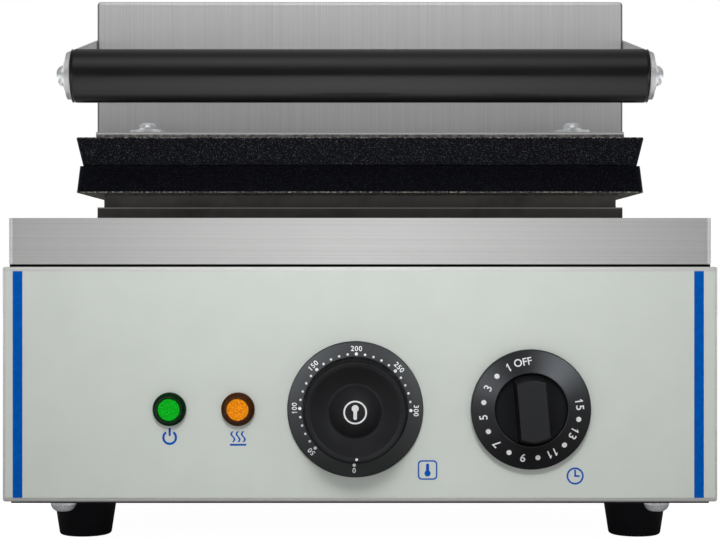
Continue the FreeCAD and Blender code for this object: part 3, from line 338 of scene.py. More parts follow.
class Finish(Nodes):
    """A node material with one main shader."""

    def __init__(self, name, inputs):
        self.material = bpy.data.materials.new(name)
        super().__init__(self.material)
        self.shader = self.tree.nodes["Principled BSDF"]
        for socket, value in inputs.items():
            self.paint(socket, value)

    def paint(self, socket, value):
        self.put(self.shader.inputs[socket], value)

    def place(self):
        """Where a point is on the part at rest, in metres."""
        return self.add("TexCoord").outputs["Object"]

    def place_axes(self):
        return self.axes(self.place())

    def noise(self, scale, detail, vector=None):
        """Soft noise with about this many spots to the metre."""
        inputs = {"Vector": vector or self.place(), "Scale": scale, "Detail": detail}
        return self.add("TexNoise", inputs).outputs["Fac"]

    def shades(self, noise, dark, light):
        """A colour that goes from dark to light over the usual span of a noise."""
        return self.ramp(noise, [(noise_low, dark), (noise_high, light)])

    def vary(self, noise, first, second):
        """A number that goes from the first to the second over the same span."""
        return self.spread(noise, noise_low, noise_high, first, second)

    def relief(self, height, depth, strength):
        inputs = {"Height": height, "Distance": depth, "Strength": strength}
        return self.add("Bump", inputs).outputs["Normal"]


def grey(level, tint=(1.0, 1.0, 1.0)):
    return tuple(level * share for share in tint)


def opaque(colour):
    return (*colour, 1.0)


def grey_stops(levels):
    """Stops of a ramp that goes through grey levels, each given with its place."""
    return [(place, grey(level)) for place, level in levels]


def facing(finish, axis):
    """How far a face looks along an axis, from 0 to 1."""
    normal = finish.axes(finish.add("TexCoord").outputs["Normal"])
    return finish.math("ABSOLUTE", normal[axis])


def brushed_steel(name, across, level, tint, gloss, roughness, brushing, bend_shade_level=1.0, bend_shade_start=0.3):
    """Brushed sheet: streaks that the named axis crosses, or Y on the faces that look along that axis.

    The upright bends keep only a share of the sheet's brightness, a painted shade.
    """
    finish = Finish(name, {"Metallic": gloss, "Anisotropic": brushing})
    share = facing(finish, across)
    rest = finish.math("SUBTRACT", 1.0, share)
    axes = finish.place_axes()
    crossing = finish.math("ADD", finish.math("MULTIPLY", axes[across], rest),
                           finish.math("MULTIPLY", axes["Y"], share))
    fine = finish.add("CombineXYZ", {"X": finish.math("MULTIPLY", crossing, streaks_across)})
    lengthways = {0: finish.place(), 1: (streaks_along, streaks_along, streaks_along)}
    coarse = finish.add("VectorMath", lengthways, operation="MULTIPLY")
    both = {0: fine.outputs["Vector"], 1: coarse.outputs["Vector"]}
    vector = finish.add("VectorMath", both, operation="ADD")
    streaks = finish.noise(1.0, 4.0, vector.outputs["Vector"])
    clouds = finish.noise(14.0, 2.0)
    tone = finish.math("ADD", finish.math("MULTIPLY", streaks, streak_share),
                       finish.math("MULTIPLY", clouds, 1.0 - streak_share))
    colour = finish.shades(tone, grey(level * streak_dark, tint), grey(level * streak_light, tint))
    # Painted shade: faces that look partly sideways, on the upright bends, are darkened
    if bend_shade_level < 1.0:
        side = facing(finish, "X")
        bend_shade = finish.math("MULTIPLY", finish.spread(side, bend_shade_start, bend_shade_start + bend_shade_width),
                           finish.spread(side, bend_shade_fade_end, bend_shade_fade_start))
        colour = finish.mix(bend_shade, colour, opaque(grey(level * bend_shade_level, tint)))
    finish.paint("Base Color", colour)
    finish.paint("Roughness", finish.vary(tone, roughness * 1.12, roughness * 0.9))
    finish.paint("Normal", finish.relief(streaks, 0.01 * mm, 0.6))
    tangent = finish.add("CombineXYZ", {"Y": share, across: rest}).outputs["Vector"]
    turned = finish.add("VectorTransform", {"Vector": tangent},
                        vector_type="VECTOR", convert_from="OBJECT", convert_to="WORLD")
    finish.paint("Tangent", turned.outputs["Vector"])
    return finish


def case_steel():
    tint = (1.0, 1.0, 0.99)
    finish = brushed_steel("case_steel", "Z", 0.84, tint, gloss=0.5, roughness=0.36, brushing=0.9)
    return finish.material


def tray_steel():
    tint = (1.0, 0.993, 0.99)
    finish = brushed_steel("tray_steel", "Z", 0.84, tint, gloss=1.0, roughness=0.34, brushing=0.92,
                           bend_shade_level=0.4, bend_shade_start=0.6)
    return finish.material


def cover_steel():
    """The lid's sheet, darkened towards the plates by a painted shade, with a painted highlight along its
    flange's edge.
    """
    tint = (1.0, 1.0, 1.01)
    finish = brushed_steel("cover_steel", "X", 0.92, tint, gloss=0.6, roughness=0.44, brushing=0.6,
                           bend_shade_level=0.3)
    sheet = finish.shader.inputs["Base Color"].links[0].from_socket
    height = finish.place_axes()["Z"]
    # Painted shade: the sheet darkens from near its top down to its foot; a painted highlight keeps the
    # flange's edge at full brightness
    painted_shade = finish.spread(height, cover_high.z - cover_shade_margin, cover_low.z, 1.0, cover_shade_level)
    flange_highlight = finish.spread(height, cover_low.z + flange_highlight_width, cover_low.z + flange_highlight_width / 2)
    shaded_sheet = finish.add("VectorMath", {0: sheet}, operation="SCALE")
    finish.put(shaded_sheet.inputs["Scale"], finish.math("MAXIMUM", painted_shade, flange_highlight))
    finish.paint("Base Color", shaded_sheet.outputs["Vector"])
    return finish.material


def overlay_film():
    """Pale grey-green satin film with a faint mottle."""
    finish = Finish("overlay_film", {"Specular IOR Level": 0.32})
    mottle = finish.noise(60.0, 3.0)
    grain = finish.noise(1400.0, 2.0)
    finish.paint("Base Color", finish.shades(mottle, (0.745, 0.79, 0.74), (0.77, 0.815, 0.765)))
    finish.paint("Roughness", finish.vary(grain, 0.36, 0.48))
    finish.paint("Normal", finish.relief(grain, 0.012 * mm, 0.5))
    return finish.material


def tinted_steel():
    """Sheet that has browned and darkened beside the heater, with a pale band along the support's upper
    edge.
    """
    finish = Finish("tinted_steel", {"Metallic": 1.0})
    clouds = finish.noise(38.0, 4.0)
    specks = finish.noise(420.0, 2.0)
    stops = [(0.3, (0.14, 0.134, 0.13)), (0.55, (0.25, 0.238, 0.228)), (0.75, (0.21, 0.202, 0.204))]
    speck_share = finish.spread(specks, 0.6, 0.72, 0.0, 0.4)
    sheet = finish.mix(speck_share, finish.ramp(clouds, stops), opaque((0.22, 0.18, 0.14)))
    height = finish.place_axes()["Z"]
    # A pale band along the support's upper edge
    pale_edge = finish.math("MULTIPLY", finish.math("GREATER_THAN", height, support_top - pale_edge_width),
                         finish.math("LESS_THAN", height, support_top + pale_edge_margin))
    finish.paint("Base Color", finish.mix(pale_edge, sheet, opaque((0.7, 0.67, 0.63))))
    finish.paint("Roughness", finish.vary(clouds, 0.42, 0.58))
    finish.paint("Normal", finish.relief(specks, 0.02 * mm, 0.4))
    return finish.material


def nonstick():
    """Blue-black cast plates with a sparkle in the coat, cut back on the lower plate as a painted shade,
    and bare, speckled metal on the backs.
    """
    finish = Finish("nonstick", {"Specular IOR Level": 0.09})
    flakes = finish.add("TexVoronoi", {"Vector": finish.place(), "Scale": flake_scale})
    lot = finish.axes(flakes.outputs["Color"])["X"]
    flake = finish.math("MULTIPLY", finish.spread(flakes.outputs["Distance"], *flake_edge),
                        finish.math("POWER", lot, flake_rarity))
    height = finish.place_axes()["Z"]
    parting = (plate_parting - parting_blend, plate_parting + parting_blend)
    # Painted shade: the lower plate keeps only a share of the sparkle
    share = finish.spread(height, *parting, lower_plate_shaded_sparkle)
    glint = finish.math("MULTIPLY", flake, share)
    finish.paint("Metallic", glint)
    coat = finish.ramp(glint, [(0.0, (0.0016, 0.002, 0.0046)), (1.0, (0.13, 0.14, 0.18))])
    speckle = finish.noise(1000.0, 2.0)
    bare_stops = [(0.36, (0.012, 0.011, 0.01)), (0.5, (0.1, 0.094, 0.084)), (0.62, (0.75, 0.71, 0.64))]
    bare = finish.ramp(speckle, bare_stops)
    under = finish.spread(height, plate_bottom + bare_bottom[0], plate_bottom + bare_bottom[1])
    over = finish.spread(height, plate_top - bare_top[0], plate_top - bare_top[1])
    backs = finish.math("MAXIMUM", under, over)
    finish.paint("Base Color", finish.mix(backs, coat, bare))
    pores = finish.noise(700.0, 3.0)
    finish.paint("Roughness", finish.vary(pores, 0.34, 0.5))
    finish.paint("Normal", finish.relief(pores, 0.03 * mm, 0.5))
    return finish.material


def plated_metal(name, level, tint, roughness, gloss=1.0):
    """Plated or turned metal with cloudy gloss and faint scuffs."""
    finish = Finish(name, {"Metallic": gloss})
    clouds = finish.noise(160.0, 3.0)
    scuffs = finish.noise(1100.0, 2.0)
    finish.paint("Base Color", finish.shades(clouds, grey(level * 0.8, tint), grey(level * 1.1, tint)))
    finish.paint("Roughness", finish.vary(clouds, roughness * 1.25, roughness * 0.8))
    finish.paint("Normal", finish.relief(scuffs, 0.008 * mm, 0.4))
    return finish.material


def heater_steel():
    """Heater tube and retainer steel with dull oxide colours."""
    finish = Finish("heater_steel", {"Metallic": 1.0})
    clouds = finish.noise(70.0, 4.0)
    stops = [(0.3, (0.09, 0.085, 0.085)), (0.5, (0.17, 0.145, 0.12)), (0.7, (0.12, 0.12, 0.15))]
    finish.paint("Base Color", finish.ramp(clouds, stops))
    finish.paint("Roughness", finish.vary(clouds, 0.4, 0.62))
    return finish.material


def fibre(name, dark, light, scale):
    """Matted fibre, soft and uneven."""
    finish = Finish(name, {"Specular IOR Level": 0.15, "Roughness": 0.92})
    tufts = finish.noise(scale, 6.0)
    finish.paint("Base Color", finish.shades(tufts, dark, light))
    finish.paint("Normal", finish.relief(tufts, 0.4 * mm, 0.8))
    return finish.material


def moulded_finish(name, colour, roughness, specular, grain_depth):
    """Moulded plastic or rubber with a fine grain and soft patches of gloss."""
    finish = Finish(name, {"Specular IOR Level": specular})
    patches = finish.noise(45.0, 3.0)
    grain = finish.noise(1800.0, 2.0)
    finish.paint("Base Color", finish.shades(patches, grey(0.82, colour), grey(1.2, colour)))
    finish.paint("Roughness", finish.vary(patches, roughness * 0.9, roughness * 1.12))
    finish.paint("Normal", finish.relief(grain, grain_depth, 0.5))
    return finish


def moulded(name, colour, roughness, specular, grain_depth):
    return moulded_finish(name, colour, roughness, specular, grain_depth).material


def timer_plastic():
    """The timer's glossy black, left matt in the well beside its grip bar."""
    gloss = 0.31
    matt = 0.9
    finish = moulded_finish("timer_plastic", timer_black, gloss, 0.22, fine_grain)
    axes = finish.place_axes()
    across = finish.math("SUBTRACT", axes["X"], timer.x)
    up = finish.math("SUBTRACT", axes["Z"], timer.z)
    offset = finish.add("CombineXYZ", {"X": across, "Y": up}).outputs["Vector"]
    radius = finish.add("VectorMath", {0: offset}, operation="LENGTH").outputs["Value"]
    inside = finish.math("LESS_THAN", radius, well_radius)
    sunk = finish.math("GREATER_THAN", axes["Y"], film_face - well_proud)
    in_well = finish.math("MULTIPLY", inside, sunk)
    finish.paint("Roughness", finish.spread(in_well, 0.0, 1.0, gloss, matt))
    return finish.material


def ink(name, colour):
    """Screen ink, a little uneven."""
    finish = Finish(name, {"Specular IOR Level": 0.04})
    patches = finish.noise(500.0, 3.0)
    stops = [(0.35, grey(0.9, colour)), (0.65, grey(1.06, colour))]
    finish.paint("Base Color", finish.ramp(patches, stops))
    finish.paint("Roughness", finish.vary(patches, 0.4, 0.55))
    return finish.material


def lens_plastic(name, dark, light, glow):
    """Clear tinted plastic, darker in its depth, with a little light behind it."""
    finish = Finish(name, {"Specular IOR Level": 0.12, "Emission Strength": glow})
    depth = finish.noise(1200.0, 2.0)
    colour = finish.ramp(depth, [(0.35, dark), (0.65, light)])
    finish.paint("Base Color", colour)
    finish.paint("Emission Color", colour)
    finish.paint("Roughness", finish.vary(depth, 0.12, 0.24))
    return finish.material


def slot_finishes():
    """One finish for each material slot of the record."""
    return {
        "stainless_case": case_steel(),
        "stainless_tray": tray_steel(),
        "stainless_cover": cover_steel(),
        "overlay_film": overlay_film(),
        "tinted_steel": tinted_steel(),
        "nonstick": nonstick(),
        "zinc": plated_metal("zinc", 0.92, (0.98, 1.0, 1.02), 0.3, 0.6),
        "hinge_steel": plated_metal("hinge_steel", 0.42, (1.0, 0.99, 0.97), 0.38),
        "heater_steel": heater_steel(),
        "insulation": fibre("insulation", (0.42, 0.38, 0.31), (0.7, 0.66, 0.57), 240.0),
        "gasket": fibre("gasket", (0.1, 0.098, 0.094), (0.5, 0.49, 0.47), 420.0),
        "foot_rubber": moulded("foot_rubber", (0.008, 0.0083, 0.0105), 0.55, 0.1, 0.02 * mm),
        "grip_plastic": moulded("grip_plastic", (0.0034, 0.0034, 0.0042), 0.24, 0.45, 0.012 * mm),
        "knob_plastic": moulded("knob_plastic", knob_black, 0.24, 0.3, fine_grain),
        "green_lens": lens_plastic("green_flange", (0.0006, 0.014, 0.002), (0.001, 0.03, 0.005), 0.0),
        "amber_lens": lens_plastic("amber_flange", (0.036, 0.009, 0.001), (0.08, 0.022, 0.003), 0.0),
        "control_plastic": moulded("control_plastic", (0.03, 0.028, 0.026), 0.45, 0.45, 0.015 * mm),
        "control_steel": plated_metal("control_steel", 0.55, (1.0, 0.99, 0.95), 0.34),
        "copper": plated_metal("copper", 0.8, (1.0, 0.52, 0.36), 0.3),
        "gland_plastic": moulded("gland_plastic", (0.028, 0.029, 0.031), 0.42, 0.45, 0.015 * mm),
    }


def dress_frame(finishes):
    """Gives every frame node the finish of its slot, and two nodes a finish of their own: the timer knob,
    and the bottom plate, darkened as a painted shade.
    """
    for part in frame["record"]["subparts"]:
        node = frame["nodes"][part["node"]]
        node.material_slots[0].material = finishes[part["material_slot"]]
    frame["nodes"]["timer_knob"].material_slots[0].material = timer_plastic()
    # The bottom plate is darkened, a painted shade under the case
    bottom_shade = plated_metal("bottom_shade_steel", 0.06, (1.0, 0.99, 0.97), 0.5)
    frame["nodes"]["bottom_plate"].material_slots[0].material = bottom_shade


def mesh_data(name, mesh):
    """The finished data of a mesh under construction."""
    data = bpy.data.meshes.new(name)
    mesh.to_mesh(data)
    mesh.free()
    return data


def place_piece(name, mesh, materials, body):
    """Adds a mesh that is already in the part's frame, and lets it ride on a body."""
    piece = bpy.data.objects.new(name, mesh)
    for material in materials:
        mesh.materials.append(material)
    bpy.context.scene.collection.objects.link(piece)
    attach(piece, body)
    return piece


# Flat outlines, as loops of points in metres
def arc(radius, start, end, centre=(0.0, 0.0), steps=arc_steps):
    """Points along an arc, with its angles in degrees."""
    angles = [math.radians(start + (end - start) * k / steps) for k in range(steps + 1)]
    return [(centre[0] + radius * math.cos(a), centre[1] + radius * math.sin(a)) for a in angles]


def circle(radius):
    return arc(radius, 0.0, 360.0, steps=circle_steps)[:-1]


def arc_band(radius, width, start, end):
    outside = arc(radius + width / 2, start, end)
    inside = arc(radius - width / 2, end, start)
    return outside + inside


def rectangle(x, y):
    return [(x[0], y[0]), (x[1], y[0]), (x[1], y[1]), (x[0], y[1])]


def rounded_rectangle(width, height, corner):
    reach_x = width / 2 - corner
    reach_y = height / 2 - corner
    turns = [(1, 1, 0.0), (-1, 1, 90.0), (-1, -1, 180.0), (1, -1, 270.0)]
    points = []
    for dx, dy, start in turns:
        points += arc(corner, start, start + 90.0, (dx * reach_x, dy * reach_y), corner_steps)
    return points


def wave(x, width, height):
    """An upright wavy band."""
    swing = width * 0.9
    levels = [k / arc_steps for k in range(arc_steps + 1)]
    sway = [x + swing * math.sin(2 * math.pi * level) for level in levels]
    left = [(s - width / 2, level * height) for s, level in zip(sway, levels)]
    right = [(s + width / 2, level * height) for s, level in zip(sway, levels)]
    return left + right[::-1]


def thermometer(size):
    """The outline of a thermometer: a stem with a round top on a round bulb."""
    bulb = size * 0.24
    stem = bulb / 2
    bulb_y = bulb - size / 2
    stem_y = size / 2 - stem
    return arc(bulb, 60.0, -240.0, (0.0, bulb_y)) + arc(stem, 180.0, 0.0, (0.0, stem_y))


def power_sign(size):
    """An open ring with an upright bar."""
    width = size * 0.13
    radius = size / 2 - width
    bar = rectangle((-width / 2, width / 2), (radius * 0.25, size * 0.55))
    return [arc_band(radius, width, 125.0, 415.0), bar]


def heat_sign(size):
    """Three waves that rise from a bar."""
    width = size * 0.11
    bar = rectangle((-size / 2, size / 2), (-size / 2, -size / 2 + width))
    waves = [wave(x * size, width, size * 0.66) for x in (-0.32, 0.0, 0.32)]
    lift = -size / 2 + width * 2
    return [bar] + [[(x, y + lift) for x, y in band] for band in waves]


def clock_sign(size):
    """A ring with two hands."""
    width = size * 0.1
    hand = width / 2
    long_hand = size * 0.36
    short_hand = size * 0.26
    hands = [(-hand, -hand), (short_hand, -hand), (short_hand, hand), (hand, hand), (hand, long_hand),
             (-hand, long_hand)]
    return [circle(size / 2), circle(size / 2 - width), hands]


def heat_setting_sign(size):
    """A thermometer in a rounded frame."""
    width = size * 0.07
    inside = size - 2 * width
    outline = rounded_rectangle(size, size, size * 0.2)
    return [outline, rounded_rectangle(inside, inside, size * 0.15), thermometer(size * 0.66)]


def mesh_from(curve):
    """The mesh of a curve or text."""
    holder = bpy.data.objects.new(curve.name, curve)
    mesh = bpy.data.meshes.new_from_object(holder)
    bpy.data.objects.remove(holder)
    return mesh


def plate_from(loops, height=print_height):
    """A thin plate with the outlines and holes that the loops give."""
    curve = bpy.data.curves.new("outline", "CURVE")
    curve.dimensions = "2D"
    curve.fill_mode = "BOTH"
    curve.extrude = height / 2
    for loop in loops:
        spline = curve.splines.new("POLY")
        spline.points.add(len(loop) - 1)
        for point, (x, y) in zip(spline.points, loop):
            point.co = (x, y, 0.0, 1.0)
        spline.use_cyclic_u = True
    return mesh_from(curve)


def plate_from_words(words, size):
    """A thin plate in the form of a word or a single figure."""
    curve = bpy.data.curves.new("words", "FONT")
    curve.body = words
    curve.size = size
    curve.offset = size * letter_weight
    curve.align_x = "CENTER"
    curve.align_y = "CENTER"
    curve.extrude = print_height / 2
    return mesh_from(curve)


def figure_one(size):
    """The figure one, with a flag at its top."""
    half = size * 0.36
    width = size * 0.115
    flag = size * 0.17
    stem = size * 0.06
    left = stem - width
    return [(left, -half), (stem, -half), (stem, half), (left + width * 0.3, half),
            (left - flag + width * 0.5, half - flag), (left - flag + width * 0.5, half - flag - width),
            (left, half - flag)]


def plate_from_number(number, size):
    """A number, figure by figure at an even spacing."""
    figures = str(number)
    plates = []
    for place, figure in enumerate(figures):
        shift = (place - (len(figures) - 1) / 2) * size * figure_spacing
        plate = plate_from([figure_one(size)]) if figure == "1" else plate_from_words(figure, size)
        plates.append((plate, Matrix.Translation((shift, 0.0, 0.0))))
    return joined("number", plates)


def on_face(x, z, face, turn=0.0):
    """The matrix that lays a flat plate on an upright face that looks to the front."""
    upright = Matrix(((1, 0, 0), (0, 0, -1), (0, 1, 0))).to_4x4()
    spin = Matrix.Rotation(math.radians(turn), 4, "Z")
    lift = print_height / 2 - print_sink
    return Matrix.Translation((x, face - lift, z)) @ upright @ spin


def on_ring(centre, radius, angle, face):
    """The same, at an angle round a dial, with its top outwards."""
    x = centre.x + radius * math.cos(math.radians(angle))
    z = centre.z + radius * math.sin(math.radians(angle))
    return on_face(x, z, face, angle - 90.0)


def joined(name, plates):
    """One mesh of flat plates, each put in its place by a matrix."""
    whole = bmesh.new()
    for plate, matrix in plates:
        plate.transform(matrix)
        whole.from_mesh(plate)
        bpy.data.meshes.remove(plate)
    return mesh_data(name, whole)


def place_prints(name, plates, ink_used, body):
    """Adds flat plates, each with its matrix, as one printed piece."""
    return place_piece(name, joined(name, plates), [ink_used], body)


def panel_stripes(blue):
    """The two upright stripes at the ends of the film."""
    height = (film_low.z, film_high.z)
    loops = [rectangle(width, height) for width in (left_stripe, right_stripe)]
    plates = [(plate_from([loop]), on_face(0.0, 0.0, film_face)) for loop in loops]
    place_prints("panel_stripes", plates, blue, "base")


def panel_signs(blue):
    """The signs beside the lights and dials."""
    light_sign_z = thermostat.z - light_sign_drop
    signs = [
        (power_sign(power_sign_size), (middle("power_light").x, light_sign_z)),
        (heat_sign(heat_sign_size), (middle("heat_light").x, light_sign_z)),
        (heat_setting_sign(heat_setting_size), heat_setting_place),
        (clock_sign(clock_size), clock_place),
    ]
    plates = [(plate_from(loops), on_face(x, z, film_face)) for loops, (x, z) in signs]
    place_prints("panel_signs", plates, blue, "base")


def scale_angle(degrees):
    return scale_zero_angle + scale_turn_per_degree * degrees


def lay_on_cone(mesh, centre, sink):
    """Shifts flat print to the rear, onto the cone of a dial, by the sink at each point's radius."""
    for vertex in mesh.vertices:
        vertex.co.y += sink(math.hypot(vertex.co.x - centre.x, vertex.co.z - centre.z))


def ring_sink(radius):
    """How far the thermostat ring's face falls behind its inner flat at a radius."""
    return ring_fall * (radius - ring_flat_radius) / (ring_radius - ring_edge - ring_flat_radius)


def thermostat_scale(white):
    """The numbers and dots on the thermostat's ring."""
    plates = []
    for degrees in range(0, scale_top + 1, scale_number_step):
        number = plate_from_number(degrees, scale_number_size)
        angle = scale_angle(degrees)
        plates.append((number, on_ring(thermostat, scale_number_radius, angle, bezel_face)))
    marked = [0] + list(range(scale_number_step, scale_top + 1, scale_step))
    for degrees in marked:
        size = scale_mark_size if degrees % scale_number_step == 0 else scale_dot_size
        dot = plate_from([circle(size)])
        angle = scale_angle(degrees)
        plates.append((dot, on_ring(thermostat, scale_dot_radius, angle, bezel_face)))
    mesh = joined("thermostat_scale", plates)
    lay_on_cone(mesh, thermostat, ring_sink)
    return place_piece("thermostat_scale", mesh, [white], "base")


def thermostat_marks(white):
    """The pointer dot on the knob's rim and the sign on its hub."""
    hub = plate_from([circle(hub_ring_radius), circle(hub_ring_inside), thermometer(hub_sign_size)])
    dot = plate_from([circle(pointer_size)])
    rim_face = thermostat_top + knob_face_drop
    plates = [
        (hub, on_face(thermostat.x, thermostat.z, thermostat_top, 180.0)),
        (dot, on_ring(thermostat, pointer_radius, pointer_angle, rim_face)),
    ]
    place_prints("thermostat_marks", plates, white, "thermostat_dial")


def skirt_sink(radius):
    """How far the timer's sloping skirt lies behind the film at a radius; it is below zero, in front."""
    share = (skirt_edge_radius - radius) / (skirt_edge_radius - skirt_top_radius)
    return -skirt_edge_proud - share * (skirt_top_proud - skirt_edge_proud)


def timer_scale(white):
    """The numbers and dots on the timer's sloping skirt."""
    plates = [(plate_from_words("OFF", timer_number_size * timer_off_share), timer_zero_angle)]
    for minute in range(1, timer_minutes + 1):
        odd = minute % 2 == 1
        dot = [circle(timer_dot_size)]
        mark = plate_from_number(minute, timer_number_size) if odd else plate_from(dot)
        plates.append((mark, timer_zero_angle + timer_turn_per_minute * minute))
    laid = [(plate, on_ring(timer, timer_number_radius, angle, film_face)) for plate, angle in plates]
    mesh = joined("timer_scale", laid)
    lay_on_cone(mesh, timer, skirt_sink)
    place_piece("timer_scale", mesh, [white], "timer_dial")


def lathed(mesh, profile, centre, axis, steps, ribs=0):
    """Turns a profile round an axis through a centre, and adds it to the mesh.

    Each point of the profile gives its place along the axis, its radius and, if the wall is ribbed, the
    depth of the ribs there. The last ring of points is returned.
    """
    spin_to = axis.to_track_quat("Z", "Y").to_matrix()
    rings = []
    for along, radius, *depth in profile:
        ring = []
        for k in range(steps):
            angle = 2 * math.pi * k / steps
            groove = depth[0] * (1 - math.cos(ribs * angle)) / 2 if depth else 0.0
            reach = radius - groove
            local = Vector((reach * math.cos(angle), reach * math.sin(angle), along))
            ring.append(mesh.verts.new(centre + spin_to @ local))
        rings.append(ring)
    for lower, upper in zip(rings, rings[1:]):
        for k in range(steps):
            after = (k + 1) % steps
            face = mesh.faces.new((lower[k], lower[after], upper[after], upper[k]))
            face.smooth = True
    return rings[-1]


def bowed(start, end, bow):
    """Points of a profile from start to end, bowed by a sag towards the far end of the axis."""
    points = []
    for k in range(1, bow_steps + 1):
        share = k / bow_steps
        along = start[0] + (end[0] - start[0]) * share + bow * 4 * share * (1 - share)
        points.append((along, start[1] + (end[1] - start[1]) * share))
    return points


def thermostat_dial(face_black, wall_shade_black):
    """The thermostat's knob, with its ribs, its dish and its hub; its wall takes a deeper black, a painted
    shade for the gap round its foot.
    """
    back = bezel_face - knob_gap
    crown = back - thermostat_top
    face = crown - knob_face_drop
    rim = knob_face_radius - knob_edge - knob_rim
    dish_floor = face - dish_depth
    edge = arc(knob_edge, 0.0, 90.0, (knob_face_radius - knob_edge, face - knob_edge), edge_steps)
    profile = [
        (0.0, knob_bore),
        (0.0, knob_foot_radius),
        (knob_foot_height, knob_foot_radius),
        (rib_start, knob_foot_radius - rib_inset, rib_depth),
        (face - 2 * knob_edge, knob_face_radius + rib_inset, rib_depth),
    ]
    profile += [(along, radius) for radius, along in edge]
    profile += [(face, rim)]
    profile += bowed((face, rim), (dish_floor, hub_radius), -dish_bow)
    profile += bowed((dish_floor, hub_radius), (crown, hub_flat), hub_bow)
    mesh = bmesh.new()
    centre = Vector((thermostat.x, back, thermostat.z))
    top = lathed(mesh, profile, centre, to_front, knob_steps, knob_ribs)
    mesh.faces.new(top)
    # The wall and the outer part of the rim's rounding get the deeper black, a painted shade for the gap
    # round the knob
    for side in mesh.faces:
        middle_of_side = side.calc_center_median()
        reach = math.hypot(middle_of_side.x - centre.x, middle_of_side.z - centre.z)
        side.material_index = 1 if reach > knob_face_radius - knob_edge / 2 else 0
    name = "thermostat_dial_knob"
    blacks = [face_black, wall_shade_black]
    piece = place_piece(name, mesh_data(name, mesh), blacks, "thermostat_dial")
    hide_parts("thermostat_knob")
    return piece


def thermostat_ring(black):
    """The fixed ring behind the thermostat's knob."""
    face = film_face - bezel_face
    rim_centre = (ring_radius - ring_edge, face - ring_fall - ring_edge)
    rim = arc(ring_edge, 0.0, 90.0, rim_centre, edge_steps)
    profile = [(0.0, ring_bore), (0.0, ring_radius)]
    profile += [(along, radius) for radius, along in rim]
    profile += [(face, ring_flat_radius), (face, ring_bore), (0.0, ring_bore)]
    mesh = bmesh.new()
    centre = Vector((thermostat.x, film_face, thermostat.z))
    lathed(mesh, profile, centre, to_front, knob_steps)
    name = "thermostat_dial_ring"
    piece = place_piece(name, mesh_data(name, mesh), [black], "base")
    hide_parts("thermostat_bezel")
    return piece


def facet_disc(mesh, centre, axis, radius, pitch, height, material):
    """A disc of small six-sided points, on a lattice where every third point is raised."""
    spin_to = axis.to_track_quat("Z", "Y").to_matrix()
    reach = int(radius / pitch) * 2
    points = {}
    for i in range(-reach, reach + 1):
        for j in range(-reach, reach + 1):
            x = pitch * (i + j / 2)
            y = pitch * j * math.sqrt(3) / 2
            if math.hypot(x, y) <= radius:
                raised = height if (i - j) % 3 == 0 else 0.0
                points[i, j] = mesh.verts.new(centre + spin_to @ Vector((x, y, raised)))
    for i, j in points:
        for corners in (((i, j), (i + 1, j), (i, j + 1)), ((i + 1, j), (i + 1, j + 1), (i, j + 1))):
            if all(corner in points for corner in corners):
                face = mesh.faces.new([points[corner] for corner in corners])
                face.material_index = material


def lens(name, node, flange, disc):
    """A signal lens, whose flange goes up in steps to its height and down again to the disc."""
    low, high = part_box(node)
    radius = (high.x - low.x) / 2
    proud = high.y - low.y
    centre = Vector(((low.x + high.x) / 2, high.y, (low.z + high.z) / 2))
    step = lens_disc_radius + lens_step
    profile = [
        (0.0, radius),
        (proud * 0.34, radius),
        (proud * 0.46, radius - lens_chamfer * 0.3),
        (proud * 0.52, radius - lens_chamfer),
        (proud * 0.66, step + lens_fillet),
        (proud * 0.9, step),
        (proud * 0.98, step - lens_round),
        (proud, step - lens_chamfer),
        (proud * 0.97, lens_disc_radius + lens_disc_lift),
        (proud * 0.9, lens_disc_radius),
        (proud - lens_well, lens_disc_radius),
    ]
    mesh = bmesh.new()
    lathed(mesh, profile, centre, to_front, lens_steps)
    disc_place = centre + to_front * (proud - lens_well + lens_disc_lift)
    disc_reach = lens_disc_radius + lens_facet_pitch
    facet_disc(mesh, disc_place, to_front, disc_reach, lens_facet_pitch, lens_facet_height, 1)
    piece = place_piece(name, mesh_data(name, mesh), [flange, disc], "base")
    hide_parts(node)


def grip_rings(steel):
    """The bright rings between the grip's ends and the straps."""
    gap = strap_inside - grip_high.x
    radius = (grip_high.z - grip_low.z) / 2
    thick = gap * grip_ring_share
    edge = grip_ring_edge
    profile = [
        (0.0, grip_ring_bore),
        (0.0, radius - edge),
        (edge / 2, radius),
        (thick - edge / 2, radius),
        (thick, radius - edge),
        (thick, grip_ring_bore),
        (0.0, grip_ring_bore),
    ]
    grip = middle("handle_grip")
    start_x = grip_high.x + gap * grip_ring_start_share
    mesh = bmesh.new()
    for side in (-1, 1):
        start = Vector((side * start_x, grip.y, grip.z))
        lathed(mesh, profile, start, Vector((side, 0.0, 0.0)), grip_ring_steps)
    place_piece("grip_rings", mesh_data("grip_rings", mesh), [steel], "lid")


def tray_seal(black):
    """A black strip of painted shade in the crease between the tray and the case."""
    width = tray_high.x - tray_low.x - 2 * crease_shade_inset
    depth = tray_high.y - tray_low.y - 2 * crease_shade_inset
    outside = rounded_rectangle(width, depth, tray_corner)
    inside = rounded_rectangle(width - 2 * crease_shade_width, depth - 2 * crease_shade_width, tray_corner - crease_shade_width)
    band = plate_from([outside, inside], crease_shade_height)
    centre = middle("drip_tray")
    laid = Matrix.Translation((centre.x, centre.y, tray_low.z + crease_shade_height / 2))
    place_piece("tray_seal", joined("tray_seal", [(band, laid)]), [black], "base")


